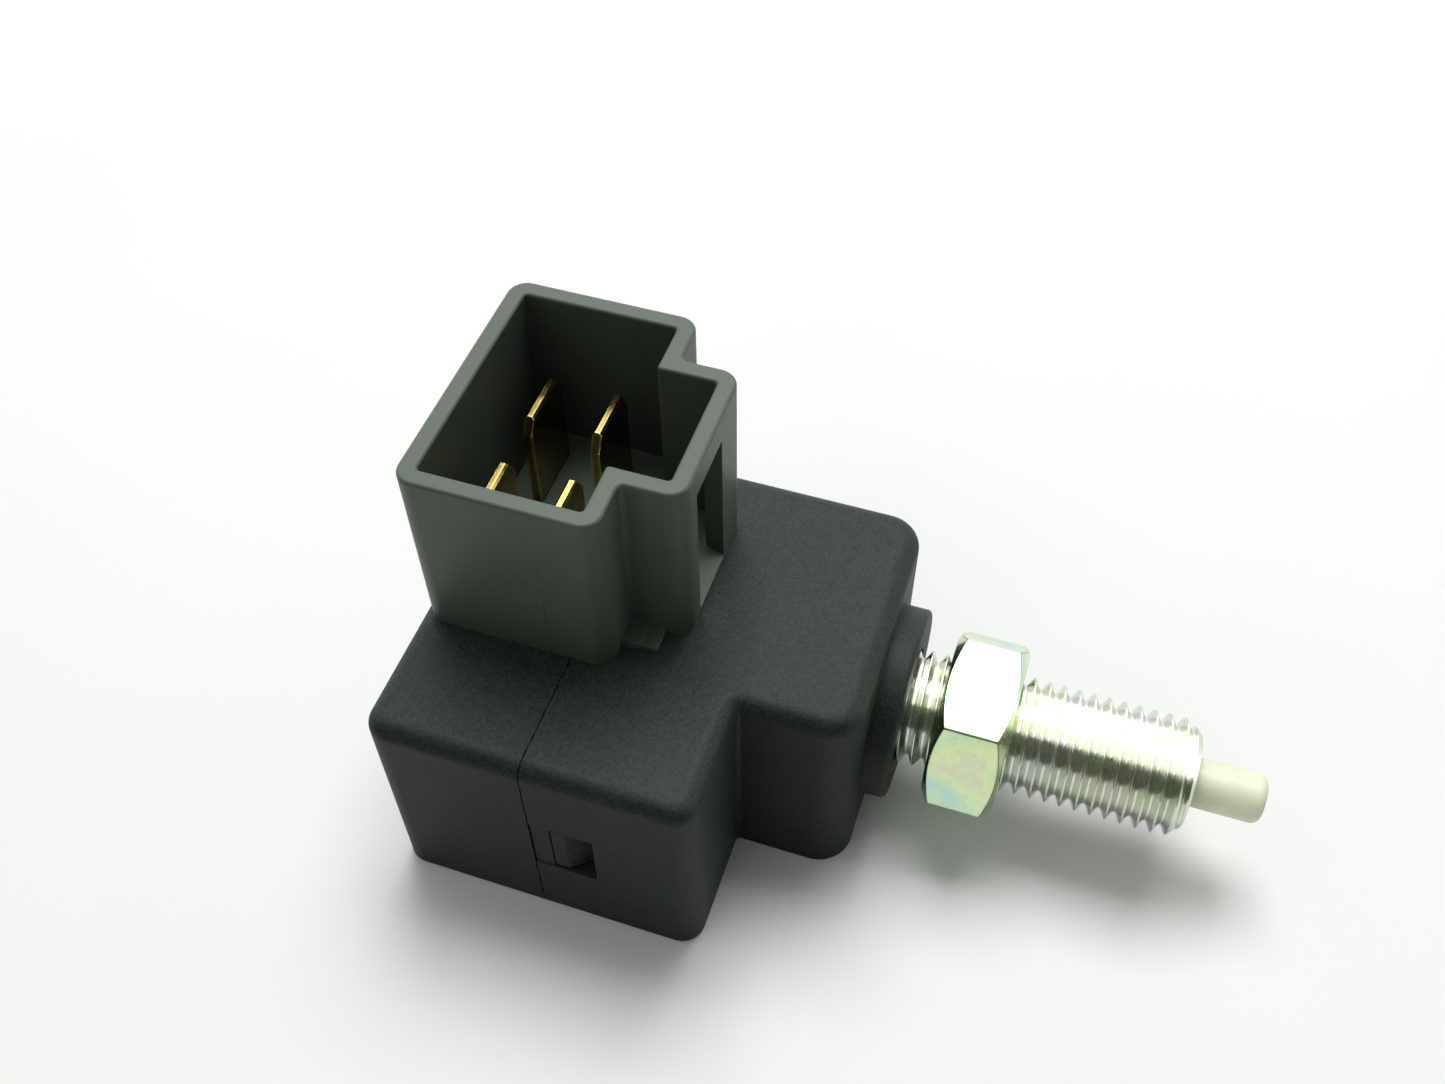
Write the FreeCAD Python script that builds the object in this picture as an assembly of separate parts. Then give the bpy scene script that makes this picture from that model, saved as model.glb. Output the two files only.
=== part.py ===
"""Brake light switch: L shaped two-piece housing, keyed four-blade connector tower, threaded sleeve
with lock nut, and a sprung plunger that works two bridging contacts.

Millimetres. The origin is on the sleeve's axis, in the outer face of the seating collar. +X runs out
along the sleeve towards the plunger's tip, +Z points up to the connector, and the housing's flat base
lies below the axis.
"""
import FreeCAD, Part
import math
import os

V = FreeCAD.Vector

# Sleeve and lock nut; the sleeve's M10 x 1.25 thread is turned as rings at its true pitch and depth,
# and the nut's bore is drawn at the thread's outside diameter
THREAD_D = 10.0
THREAD_PITCH = 1.25
THREAD_CREST = 0.16
THREAD_ROOT = 0.2
THREAD_FLANK_DEG = 30.0
THREAD_RUNOUT = 0.57
SLEEVE_REACH = 23.7
SLEEVE_CHAMFER = 1.0
SLEEVE_FLANGE_AF = 12.4
SLEEVE_FLANGE_T = 2.0
NUT_AF = 14.0
NUT_T = 6.0
NUT_FACE_D = 13.3
NUT_BEVEL_DEG = 30.0
NUT_GAP = 2.8
NUT_TURN_DEG = 11.0
NUT_CLEAR = 0.05

# Plunger
PLUNGER_D = 4.15
PLUNGER_PROUD = 5.9
PLUNGER_END_R = 0.8
PLUNGER_CLEAR = 0.08
PLUNGER_FLANGE_D = 8.4
PLUNGER_FLANGE_T = 1.5
HUB_D = 6.4
HUB_LEN = 7.5
STROKE = 5.0
STOP_PLAY = 0.05

# Housing: height, plan and walls
AXIS_HEIGHT = 10.4
HOUSING_HEIGHT = 21.5
COLLAR_D = 16.5
COLLAR_T = 2.2
COLLAR_EDGE_R = 0.4
NECK_LEN = 9.5
NECK_HALF_WIDTH = 11.45
BLOCK_LEN = 27.0
BLOCK_FRONT = 22.2
COVER_LEN = 13.2
WALL = 1.6
FRONT_WALL = 2.4
TOP_EDGE_R = 1.5
BASE_EDGE_R = 0.3
BLOCK_CORNER_R = 2.0
NECK_CORNER_R = 3.0
INNER_CORNER_R = 0.4
SEAM_GAP = 0.1
LIP_LEN = 1.6
LIP_CLEAR = 0.05
SOCKET_RIM = 1.6
SOCKET_DEPTH = 1.2

# Snap arms of the rear cover and their windows
WINDOW_FROM_SEAM = 1.7
WINDOW_LEN = 3.75
WINDOW_HEIGHT = 6.3
WINDOW_RECESS = 0.12
ARM_T = 1.2
ARM_ROOT = 4.0
ARM_CLEAR = 0.12
BARB_LAND = 1.2
BARB_HEIGHT = 5.5
BARB_SINK = 0.15
BARB_NOSE = 0.4

# Guide rails and the carrier's runner
RAIL_T = 1.2
RAIL_HEIGHT = 2.8
RAIL_SETBACK = 1.5
RUNNER_T = 1.8
RUNNER_LEN = 7.0
RUNNER_CLEAR = 0.15
RUNNER_LIFT = 0.3

# Connector tower and its base in the housing
TOWER_HEIGHT = 16.85
TOWER_WALL = 1.5
TOWER_REAR_INSET = 0.7
CAVITY_LEN = 12.9
CAVITY_HALF_WIDTH = 9.85
KEY_LEN = 4.9
KEY_HALF_WIDTH = 5.2
TOWER_CORNER_R = 1.6
TOWER_NOTCH_R = 0.5
TOWER_INNER_R = 0.3
TOWER_RIM_R = 0.3
FLOOR_T = 1.3
LATCH_FROM = -4.0
LATCH_TO = 1.75
LATCH_TOP_BAR = 2.5
SILL_DROP = 0.8
FOOT_LEN = 2.9
FOOT_WIDTH = 2.1
FOOT_T = 0.5
BASE_REAR_LEDGE = 1.1
BASE_SIDE_LEDGE = 0.85
BASE_LEN = 15.5
BASE_CORNER_R = 0.8
FLANGE_T = 1.6
SEAT_CLEAR = 0.05

# Blades and terminal legs
BLADE_T = 0.8
BLADE_W = 6.2
BLADE_TIP_W = 4.4
BLADE_TIP_TAPER = 1.5
BLADE_TIP_EDGE = 0.2
BLADE_BELOW_RIM = 6.05
BLADE_SIDE = 4.82
STOP_ROW_FROM_REAR = 8.6
CRUISE_ROW_FROM_REAR = 2.8
LEG_W = 3.4
LEG_INNER = 3.6
LEG_END = 2.6
BEND_R = 0.5
SLOT_CLEAR = 0.03

# Contacts
CONTACT_D = 2.8
CONTACT_T = 0.5
CONTACT_DOME_R = 0.15
CONTACT_SHANK_D = 1.4
CONTACT_TAIL_D = 2.0
CONTACT_TAIL_T = 0.3
CONTACT_GAP = 0.02
CONTACT_OVERTRAVEL = 1.0
BRIDGE_T = 0.8
BRIDGE_RING_D = 8.0
BRIDGE_END = 1.8
BRIDGE_CORNER_R = 1.0
BRIDGE_CLEAR = 0.1

# Carrier, clip and springs
STEM_D = 5.2
SPIGOT_D = 3.6
SPIGOT_LEN = 4.6
SHOULDER_T = 1.2
SHOULDER_SIDE = 8.0
SHOULDER_CORNER_R = 1.5
STOP_SPRING_LEN = 4.6
STEM_TAIL = 0.85
STEM_BORE_D = 3.9
STEM_BORE_DEPTH = 11.0
CLIP_D = 6.2
CLIP_T = 0.7
CLIP_GROOVE = 0.4
CLIP_MOUTH = 2.2
PIN_D = 2.2
PIN_LEN = 4.0
PIN_LEAD = 0.35
CONTACT_SPRING_WIRE = 0.5
CONTACT_SPRING_CLEAR = 0.15
CONTACT_SPRING_TURNS = 4.0
RETURN_SPRING_WIRE = 0.4
RETURN_SPRING_CLEAR = 0.17
RETURN_SPRING_TURNS = 12.0
SPRING_TURN_GAP = 0.08

# Places worked out from the sizes above
BASE_Z = -AXIS_HEIGHT
TOP_Z = BASE_Z + HOUSING_HEIGHT
FLOOR_Z = BASE_Z + WALL
CEILING_Z = TOP_Z - WALL
RIM_Z = TOP_Z + TOWER_HEIGHT
NECK_X = -COLLAR_T
BLOCK_X = NECK_X - NECK_LEN
REAR_X = BLOCK_X - BLOCK_LEN
SEAM_X = REAR_X + COVER_LEN
REAR_INNER_X = REAR_X + WALL
FRONT_INNER_X = NECK_X - FRONT_WALL

SLEEVE_INNER_X = FRONT_INNER_X - SLEEVE_FLANGE_T
SLEEVE_BORE_R = PLUNGER_D / 2 + PLUNGER_CLEAR
PLUNGER_TIP_X = SLEEVE_REACH + PLUNGER_PROUD
PLUNGER_STOP_X = SLEEVE_INNER_X - STOP_PLAY
HUB_X = PLUNGER_STOP_X - PLUNGER_FLANGE_T
HUB_REAR_X = HUB_X - HUB_LEN

TOWER_REAR_X = REAR_X + TOWER_REAR_INSET
CAVITY_X = TOWER_REAR_X + TOWER_WALL
STOP_ROW_X = CAVITY_X + STOP_ROW_FROM_REAR - BLADE_T / 2
CRUISE_ROW_X = CAVITY_X + CRUISE_ROW_FROM_REAR - BLADE_T / 2

BRIDGE_THROW = STROKE - CONTACT_OVERTRAVEL
STOP_BRIDGE_X = HUB_REAR_X - CONTACT_OVERTRAVEL - STOP_PLAY
CONTACT_STACK = 2 * CONTACT_T + CONTACT_GAP
STOP_LEG_X = STOP_BRIDGE_X + CONTACT_STACK
SHOULDER_FRONT_X = STOP_BRIDGE_X - BRIDGE_T - STOP_SPRING_LEN
SHOULDER_REAR_X = SHOULDER_FRONT_X - SHOULDER_T
CRUISE_LEG_X = CRUISE_ROW_X + BLADE_T
CRUISE_BRIDGE_X = CRUISE_LEG_X + CONTACT_STACK + BRIDGE_THROW + BRIDGE_T
CLIP_X = CRUISE_BRIDGE_X - BRIDGE_T - STOP_PLAY
STEM_REAR_X = CLIP_X - CLIP_T - STEM_TAIL
BORE_END_X = STEM_REAR_X + STEM_BORE_DEPTH

FLANGE_TOP_Z = CEILING_Z - SEAT_CLEAR
FLANGE_BOTTOM_Z = FLANGE_TOP_Z - FLANGE_T
LEG_TOP_Z = FLANGE_BOTTOM_Z
CONTACT_SIDE = LEG_INNER + LEG_W / 2
PARTS = {}


def block(x0, x1, y0, y1, z0, z1):
    """Box between two corners."""
    return Part.makeBox(x1 - x0, y1 - y0, z1 - z0, V(x0, y0, z0))


def rod(radius, x0, x1, y=0.0, z=0.0):
    """Round bar along X."""
    return Part.makeCylinder(radius, x1 - x0, V(x0, y, z), V(1, 0, 0))


def rounded_face(corners, z):
    """Flat face at height z from (x, y, radius) corners given in order round the outline."""
    edges, starts, ends = [], [], []
    count = len(corners)
    for index, (x, y, radius) in enumerate(corners):
        here = V(x, y, z)
        before = V(*corners[index - 1][:2], z) - here
        after = V(*corners[(index + 1) % count][:2], z) - here
        before.normalize()
        after.normalize()
        half = before.getAngle(after) / 2
        reach = radius / math.tan(half)
        first, last = here + before * reach, here + after * reach
        if radius > 0:
            middle = before + after
            middle.normalize()
            mid = here + middle * (radius / math.sin(half) - radius)
            edges.append(Part.Arc(first, mid, last).toShape())
        starts.append(first)
        ends.append(last)
    for index in range(count):
        nearest, following = ends[index], starts[(index + 1) % count]
        edges.append(Part.LineSegment(nearest, following).toShape())
    return Part.Face(Part.Wire(Part.__sortEdges__(edges)))


def prism(corners, z0, z1):
    """Upright prism over a rounded outline."""
    return rounded_face(corners, z0).extrude(V(0, 0, z1 - z0))


def rectangle(x0, x1, y0, y1, radius):
    """Corners of a rounded rectangle."""
    return [(x0, y0, radius), (x1, y0, radius), (x1, y1, radius), (x0, y1, radius)]


def edges_at_height(shape, z):
    """Edges of a shape that lie in the level plane at z."""
    def level(edge):
        box = edge.BoundBox
        return abs(box.ZMin - z) < 1e-4 and abs(box.ZMax - z) < 1e-4
    return [edge for edge in shape.Edges if level(edge)]


def hexagon_bar(across_flats, x0, x1, turn_deg):
    """Six sided bar along X; turn_deg is the angle of a corner from +Y towards +Z."""
    radius = across_flats / math.sqrt(3)
    points = []
    for step in range(7):
        angle = math.radians(turn_deg + 60 * step)
        points.append(V(x0, radius * math.cos(angle), radius * math.sin(angle)))
    return Part.Face(Part.makePolygon(points)).extrude(V(x1 - x0, 0, 0))


def housing_plan(inset):
    """Corners of the L shaped plan, moved in by a wall; the neck's front keeps its own thicker wall."""
    front = FRONT_INNER_X if inset else NECK_X
    block_r = max(BLOCK_CORNER_R - inset, INNER_CORNER_R)
    neck_r = max(NECK_CORNER_R - inset, INNER_CORNER_R)
    return [
        (REAR_X + inset, -BLOCK_FRONT + inset, block_r),
        (BLOCK_X - inset, -BLOCK_FRONT + inset, block_r),
        (BLOCK_X - inset, -NECK_HALF_WIDTH + inset, INNER_CORNER_R),
        (front, -NECK_HALF_WIDTH + inset, neck_r),
        (front, NECK_HALF_WIDTH - inset, neck_r),
        (REAR_X + inset, NECK_HALF_WIDTH - inset, block_r),
    ]


def tower_plan(inset, convex_r, concave_r):
    """Corners of the keyed tower's plan, moved in from its outer face."""
    half = CAVITY_HALF_WIDTH + TOWER_WALL - inset
    key = KEY_HALF_WIDTH + TOWER_WALL - inset
    rear = TOWER_REAR_X + inset
    step = CAVITY_X + CAVITY_LEN + TOWER_WALL - inset
    front = CAVITY_X + CAVITY_LEN + KEY_LEN + TOWER_WALL - inset
    return [
        (rear, -half, convex_r), (step, -half, convex_r), (step, -key, concave_r),
        (front, -key, convex_r), (front, key, convex_r), (step, key, concave_r),
        (step, half, convex_r), (rear, half, convex_r),
    ]


def base_outline(grow=0.0):
    """Corners of the connector's base where it passes through the housing's top wall."""
    rear = REAR_INNER_X + BASE_REAR_LEDGE - grow
    half = NECK_HALF_WIDTH - WALL - BASE_SIDE_LEDGE + grow
    return rectangle(rear, rear + BASE_LEN + 2 * grow, -half, half, BASE_CORNER_R)


def housing_shell():
    """Both halves of the housing in one piece, before the seam is cut."""
    outer = prism(housing_plan(0.0), BASE_Z, TOP_Z)
    outer = outer.makeFillet(TOP_EDGE_R, edges_at_height(outer, TOP_Z))
    outer = outer.makeFillet(BASE_EDGE_R, edges_at_height(outer, BASE_Z))
    plinth = prism(tower_plan(0.0, TOWER_CORNER_R, TOWER_NOTCH_R), TOP_Z - TOP_EDGE_R, TOP_Z)
    collar = rod(COLLAR_D / 2, NECK_X - FRONT_WALL / 2, 0)
    rim = [edge for edge in collar.Edges if abs(edge.BoundBox.XMin) < 1e-6]
    collar = collar.makeFillet(COLLAR_EDGE_R, rim)
    cavity = prism(housing_plan(WALL), FLOOR_Z, CEILING_Z)
    opening = prism(base_outline(SEAT_CLEAR), CEILING_Z - WALL, TOP_Z + WALL)
    shell = outer.fuse([plinth, collar]).cut([cavity, opening])
    return shell.cut(rod(THREAD_D / 2, FRONT_INNER_X - WALL, WALL))


def guide_rails(x0, x1):
    """Two rails on the floor that the carrier's runner slides between."""
    inner = RUNNER_T / 2 + RUNNER_CLEAR
    low, high = FLOOR_Z - WALL / 2, FLOOR_Z + RAIL_HEIGHT
    return [block(x0, x1, inner, inner + RAIL_T, low, high),
            block(x0, x1, -inner - RAIL_T, -inner, low, high)]


def wall_side(side):
    """Outer face of the side wall that carries a snap window, with its sign."""
    return (-BLOCK_FRONT, -1) if side == "front" else (NECK_HALF_WIDTH, 1)


def across_wall(side, depth0, depth1, x0, x1, z_half):
    """Box set by its depths in from the outer face of a side wall."""
    face, sign = wall_side(side)
    near, far = sorted((face - sign * depth0, face - sign * depth1))
    return block(x0, x1, near, far, -z_half, z_half)


def make_front_housing():
    """Block front, neck, collar, rabbet for the lip, snap windows and sleeve socket."""
    mouth = SEAM_X + SEAM_GAP
    side = 2 * (BLOCK_FRONT + HOUSING_HEIGHT)
    half = housing_shell().common(block(mouth, side, -side, side, -side, side))
    depth = LIP_LEN + SEAM_GAP
    rabbet = prism(housing_plan(WALL / 2), FLOOR_Z - WALL / 2, CEILING_Z + WALL / 2)
    rabbet = rabbet.common(block(mouth - WALL, SEAM_X + depth, -side, side, -side, side))
    window_x = SEAM_X + WINDOW_FROM_SEAM
    cuts = [rabbet]
    for name in ("front", "back"):
        z_half = WINDOW_HEIGHT / 2
        cuts.append(across_wall(name, -WALL, 2 * WALL, window_x, window_x + WINDOW_LEN, z_half))
        cuts.append(across_wall(name, -WALL, WINDOW_RECESS, mouth - WALL, window_x, z_half))
    rail_end = BLOCK_X - WALL - RAIL_SETBACK
    rails = guide_rails(SEAM_X + depth + SEAM_GAP, rail_end)
    socket_r = SLEEVE_FLANGE_AF / math.sqrt(3) + SOCKET_RIM
    socket = rod(socket_r, FRONT_INNER_X - SOCKET_DEPTH, FRONT_INNER_X + FRONT_WALL / 2)
    socket = socket.common(prism(housing_plan(WALL / 2), FLOOR_Z - WALL / 2, CEILING_Z))
    hole = hexagon_bar(SLEEVE_FLANGE_AF, FRONT_INNER_X - SOCKET_DEPTH - WALL, FRONT_INNER_X, 0)
    half = half.cut(cuts).fuse(rails + [socket])
    return half.cut([hole, rod(THREAD_D / 2, FRONT_INNER_X - WALL, WALL)])


def snap_arm(side):
    """Flexible arm with its root inside the cover's wall and a wedge barb in the window."""
    window_x = SEAM_X + WINDOW_FROM_SEAM
    inner = WALL + ARM_CLEAR
    tip_x = window_x + WINDOW_LEN - BARB_NOSE
    half = BARB_HEIGHT / 2
    arm = across_wall(side, inner, inner + ARM_T, SEAM_X - ARM_ROOT, tip_x, half)
    root = across_wall(side, WALL / 2, inner + ARM_T, SEAM_X - ARM_ROOT, SEAM_X, half)
    face, sign = wall_side(side)
    heel_x = window_x + ARM_CLEAR
    top_y = face - sign * BARB_SINK
    foot_y = face - sign * (inner + ARM_T / 2)
    nose_y = face - sign * inner
    outline = [V(heel_x, foot_y, -half), V(heel_x, top_y, -half), V(heel_x + BARB_LAND, top_y, -half),
               V(tip_x, nose_y, -half), V(tip_x, foot_y, -half), V(heel_x, foot_y, -half)]
    barb = Part.Face(Part.makePolygon(outline)).extrude(V(0, 0, BARB_HEIGHT))
    return [arm, root, barb]


def make_rear_cover():
    """Rear half with the lip, both snap arms, the rails' rear ends and the return spring's pin."""
    side = 2 * (BLOCK_FRONT + HOUSING_HEIGHT)
    half = housing_shell().common(block(-side, SEAM_X, -side, side, -side, side))
    lip_inset = WALL / 2 + LIP_CLEAR
    lip = prism(housing_plan(lip_inset), FLOOR_Z - WALL + lip_inset, CEILING_Z + WALL - lip_inset)
    lip = lip.cut(prism(housing_plan(WALL), FLOOR_Z, CEILING_Z))
    lip = lip.common(block(SEAM_X - WALL, SEAM_X + LIP_LEN, -side, side, -side, side))
    opening = prism(base_outline(SEAT_CLEAR), CEILING_Z - WALL, TOP_Z + WALL)
    pin = rod(PIN_D / 2, REAR_INNER_X - WALL / 2, REAR_INNER_X + PIN_LEN)
    tip = [edge for edge in pin.Edges if abs(edge.BoundBox.XMax - edge.BoundBox.XMin) < 1e-6
           and edge.BoundBox.XMin > REAR_INNER_X]
    pin = pin.makeChamfer(PIN_LEAD, tip)
    rails = guide_rails(REAR_INNER_X - WALL / 2, SEAM_X)
    arms = snap_arm("front") + snap_arm("back")
    return half.fuse([lip.cut(opening), pin] + rails + arms)


def blade_slot(x, y):
    """Slot through the connector's base for one blade."""
    return block(x - SLOT_CLEAR, x + BLADE_T + SLOT_CLEAR, y - BLADE_W / 2 - SLOT_CLEAR,
                 y + BLADE_W / 2 + SLOT_CLEAR, FLANGE_BOTTOM_Z - WALL, RIM_Z)


def make_connector_shroud():
    """Keyed tower with its latch window, floor, side feet, neck and the flange under the top wall."""
    outer = prism(tower_plan(0.0, TOWER_CORNER_R, TOWER_NOTCH_R), TOP_Z, RIM_Z)
    floor_z = TOP_Z + FLOOR_T
    inner = prism(tower_plan(TOWER_WALL, TOWER_INNER_R, TOWER_INNER_R), floor_z, RIM_Z + WALL)
    tower = outer.cut(inner)
    tower = tower.makeFillet(TOWER_RIM_R, edges_at_height(tower, RIM_Z))
    neck = prism(base_outline(), FLANGE_TOP_Z - FLANGE_T / 2, TOP_Z + FLOOR_T / 2)
    rear = REAR_INNER_X + SEAT_CLEAR
    half = NECK_HALF_WIDTH - WALL - SEAT_CLEAR
    front = STOP_LEG_X + BLADE_T
    flange = prism(rectangle(rear, front, -half, half, BASE_CORNER_R), FLANGE_BOTTOM_Z, FLANGE_TOP_Z)
    step = CAVITY_X + CAVITY_LEN + TOWER_WALL
    key = KEY_HALF_WIDTH + TOWER_WALL
    feet = [block(step - TOWER_WALL / 2, step + FOOT_LEN, key - TOWER_WALL / 2, key + FOOT_WIDTH,
                  TOP_Z, TOP_Z + FOOT_T)]
    feet.append(feet[0].mirror(V(0, 0, 0), V(0, 1, 0)))
    key_x = step + KEY_LEN
    wall_x = key_x - TOWER_WALL
    latch = block(wall_x - WALL, key_x + WALL, LATCH_FROM, LATCH_TO, floor_z, RIM_Z - LATCH_TOP_BAR)
    sill = [V(wall_x, LATCH_FROM, floor_z), V(key_x, LATCH_FROM, floor_z - SILL_DROP),
            V(key_x + WALL, LATCH_FROM, floor_z - SILL_DROP), V(key_x + WALL, LATCH_FROM, floor_z),
            V(wall_x, LATCH_FROM, floor_z)]
    sill = Part.Face(Part.makePolygon(sill)).extrude(V(0, LATCH_TO - LATCH_FROM, 0))
    slots = [blade_slot(x, y) for x in (STOP_ROW_X, CRUISE_ROW_X) for y in (-BLADE_SIDE, BLADE_SIDE)]
    return tower.fuse([neck, flange] + feet).cut([latch, sill] + slots)


def thread_groove(x):
    """Ring that one turn of the thread leaves out: sloped flanks, a flat root and its mouth at x."""
    slope = math.tan(math.radians(THREAD_FLANK_DEG))
    mouth = (THREAD_PITCH - THREAD_CREST) / 2
    root = THREAD_ROOT / 2
    crest_r = THREAD_D / 2
    root_r = crest_r - (mouth - root) / slope
    over = THREAD_CREST / 2
    wide = mouth + over * slope
    corners = [
        V(x - wide, 0, crest_r + over), V(x - root, 0, root_r),
        V(x + root, 0, root_r), V(x + wide, 0, crest_r + over), V(x - wide, 0, crest_r + over),
    ]
    return Part.Face(Part.makePolygon(corners)).revolve(V(0, 0, 0), V(1, 0, 0), 360)


def make_threaded_sleeve():
    """Sleeve with a chamfered end, a hexagonal flange in the housing's socket and the plunger's bore.

    The shank stays plain inside the housing, and is threaded from the collar's outer face to its end.
    """
    radius = THREAD_D / 2
    shank = rod(radius, SLEEVE_INNER_X, SLEEVE_REACH)
    end = [edge for edge in shank.Edges if abs(edge.BoundBox.XMin - SLEEVE_REACH) < 1e-6]
    shank = shank.makeChamfer(SLEEVE_CHAMFER, end)
    last = SLEEVE_REACH - THREAD_RUNOUT
    turns = int((last - THREAD_PITCH / 2) / THREAD_PITCH) + 1
    shank = shank.cut([thread_groove(last - turn * THREAD_PITCH) for turn in range(turns)])
    flange = hexagon_bar(SLEEVE_FLANGE_AF, SLEEVE_INNER_X, FRONT_INNER_X, 0)
    return shank.fuse(flange).cut(rod(SLEEVE_BORE_R, SLEEVE_INNER_X - WALL, SLEEVE_REACH + WALL))


def make_lock_nut():
    """Hexagon nut with both faces bevelled; the bore clears the thread's outside diameter."""
    x0, x1 = NUT_GAP, NUT_GAP + NUT_T
    corner = NUT_AF / math.sqrt(3)
    rise = math.tan(math.radians(NUT_BEVEL_DEG))
    face_r = NUT_FACE_D / 2
    depth = (corner - face_r) * rise
    profile = [V(x0, 0, 0), V(x0, face_r, 0), V(x0 + depth, corner, 0), V(x1 - depth, corner, 0),
               V(x1, face_r, 0), V(x1, 0, 0), V(x0, 0, 0)]
    turned = Part.Face(Part.makePolygon(profile)).revolve(V(0, 0, 0), V(1, 0, 0), 360)
    bar = hexagon_bar(NUT_AF, x0, x1, NUT_TURN_DEG)
    return bar.common(turned).cut(rod(THREAD_D / 2 + NUT_CLEAR, x0 - NUT_T, x1 + NUT_T))


def make_plunger():
    """Rod with a rounded tip, the flange that stops on the sleeve, and the hub with its socket."""
    pin = rod(PLUNGER_D / 2, HUB_X, PLUNGER_TIP_X)
    tip = [edge for edge in pin.Edges if abs(edge.BoundBox.XMin - PLUNGER_TIP_X) < 1e-6]
    pin = pin.makeFillet(PLUNGER_END_R, tip)
    flange = rod(PLUNGER_FLANGE_D / 2, HUB_X, PLUNGER_STOP_X)
    hub = rod(HUB_D / 2, HUB_REAR_X, HUB_X)
    socket = rod(SPIGOT_D / 2, HUB_REAR_X, HUB_REAR_X + SPIGOT_LEN)
    return pin.fuse([flange, hub]).cut(socket)


def make_contact_carrier():
    """Stem through both bridges, with the square shoulder between their springs and the runner."""
    stem = rod(STEM_D / 2, STEM_REAR_X, HUB_REAR_X)
    spigot = rod(SPIGOT_D / 2, HUB_REAR_X, HUB_REAR_X + SPIGOT_LEN)
    half = SHOULDER_SIDE / 2
    corners = rectangle(-half, half, -half, half, SHOULDER_CORNER_R)
    shoulder = prism(corners, 0, SHOULDER_T)
    shoulder.rotate(V(0, 0, 0), V(0, 1, 0), 90)
    shoulder.translate(V(SHOULDER_REAR_X, 0, 0))
    middle = SHOULDER_REAR_X + SHOULDER_T / 2
    low = FLOOR_Z + RUNNER_LIFT
    top = -BRIDGE_RING_D / 2 - RUNNER_LIFT
    runner = block(middle - RUNNER_LEN / 2, middle + RUNNER_LEN / 2, -RUNNER_T / 2, RUNNER_T / 2, low, top)
    web = block(SHOULDER_REAR_X, SHOULDER_FRONT_X, -RUNNER_T / 2, RUNNER_T / 2, low, 0)
    bore = rod(STEM_BORE_D / 2, STEM_REAR_X - WALL, BORE_END_X)
    groove = rod(STEM_D, CLIP_X - CLIP_T, CLIP_X).cut(rod(STEM_D / 2 - CLIP_GROOVE, CLIP_X - CLIP_T, CLIP_X))
    return stem.fuse([spigot, shoulder, runner, web]).cut([bore, groove])


def make_retaining_clip():
    """Open steel clip in the stem's groove."""
    inner = STEM_D / 2 - CLIP_GROOVE
    ring = rod(CLIP_D / 2, CLIP_X - CLIP_T, CLIP_X)
    mouth = block(CLIP_X - CLIP_D, CLIP_X + CLIP_D, -CLIP_MOUTH / 2, CLIP_MOUTH / 2, 0, CLIP_D)
    return ring.cut([rod(inner, CLIP_X - CLIP_D, CLIP_X + CLIP_D), mouth])


def coil_spring(mean_r, wire_d, x0, x1, turns):
    """Compression spring with closed end turns, swept along flat half turns that meet in line."""
    halves = round(2 * turns)
    closed_rise = (wire_d + SPRING_TURN_GAP) / 2
    open_rise = (x1 - x0 - wire_d - 4 * closed_rise) / (halves - 4)
    here = V(x0 + wire_d / 2, mean_r, 0)
    section = Part.Wire(Part.makeCircle(wire_d / 2, here, V(0, 0, 1)))
    arcs = []
    for index in range(halves):
        rise = closed_rise if index < 2 or index >= halves - 2 else open_rise
        there = V(here.x + rise, -here.y, 0)
        middle = (here + there) / 2 + V(0, 0, math.copysign((there - here).Length / 2, here.y))
        arcs.append(Part.Arc(here, middle, there).toShape())
        here = there
    return Part.Wire(arcs).makePipeShell([section], True, True)


def contact_spring(x0, x1):
    """Spring round the carrier's stem."""
    mean_r = STEM_D / 2 + CONTACT_SPRING_CLEAR + CONTACT_SPRING_WIRE / 2
    return coil_spring(mean_r, CONTACT_SPRING_WIRE, x0, x1, CONTACT_SPRING_TURNS)


def make_return_spring():
    """Spring in the stem's bore, seated on the rear cover round its pin."""
    mean_r = STEM_BORE_D / 2 - RETURN_SPRING_CLEAR - RETURN_SPRING_WIRE / 2
    return coil_spring(mean_r, RETURN_SPRING_WIRE, REAR_INNER_X, BORE_END_X, RETURN_SPRING_TURNS)


def make_bridge(front_x):
    """Contact bridge: ring round the stem with two rounded ends, pierced for its rivets."""
    reach = CONTACT_SIDE + BRIDGE_END
    half = LEG_W / 2
    outline = rectangle(-half, half, -reach, reach, BRIDGE_CORNER_R)
    plate = prism(outline, 0, BRIDGE_T)
    plate.rotate(V(0, 0, 0), V(0, 1, 0), 90)
    plate.translate(V(front_x - BRIDGE_T, 0, 0))
    ring = rod(BRIDGE_RING_D / 2, front_x - BRIDGE_T, front_x)
    holes = [rod(STEM_D / 2 + BRIDGE_CLEAR, front_x - 2 * BRIDGE_T, front_x + BRIDGE_T)]
    for y in (-CONTACT_SIDE, CONTACT_SIDE):
        holes.append(rod(CONTACT_SHANK_D / 2, front_x - 2 * BRIDGE_T, front_x + BRIDGE_T, y))
    return plate.fuse(ring).cut(holes)


def contact_rivet(plate_x, plate_t, facing, y):
    """Contact rivet: domed head on the plate's facing side, shank through it and a closed tail."""
    head = Part.makeCylinder(CONTACT_D / 2, CONTACT_T, V(0, 0, 0), V(1, 0, 0))
    rim = [edge for edge in head.Edges if abs(edge.BoundBox.XMin - CONTACT_T) < 1e-6]
    head = head.makeFillet(CONTACT_DOME_R, rim)
    shank = rod(CONTACT_SHANK_D / 2, -plate_t, 0)
    tail = rod(CONTACT_TAIL_D / 2, -plate_t - CONTACT_TAIL_T, -plate_t)
    rivet = head.fuse([shank, tail])
    if facing < 0:
        rivet = rivet.mirror(V(0, 0, 0), V(1, 0, 0))
    rivet.translate(V(plate_x, y, 0))
    return rivet


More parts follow.
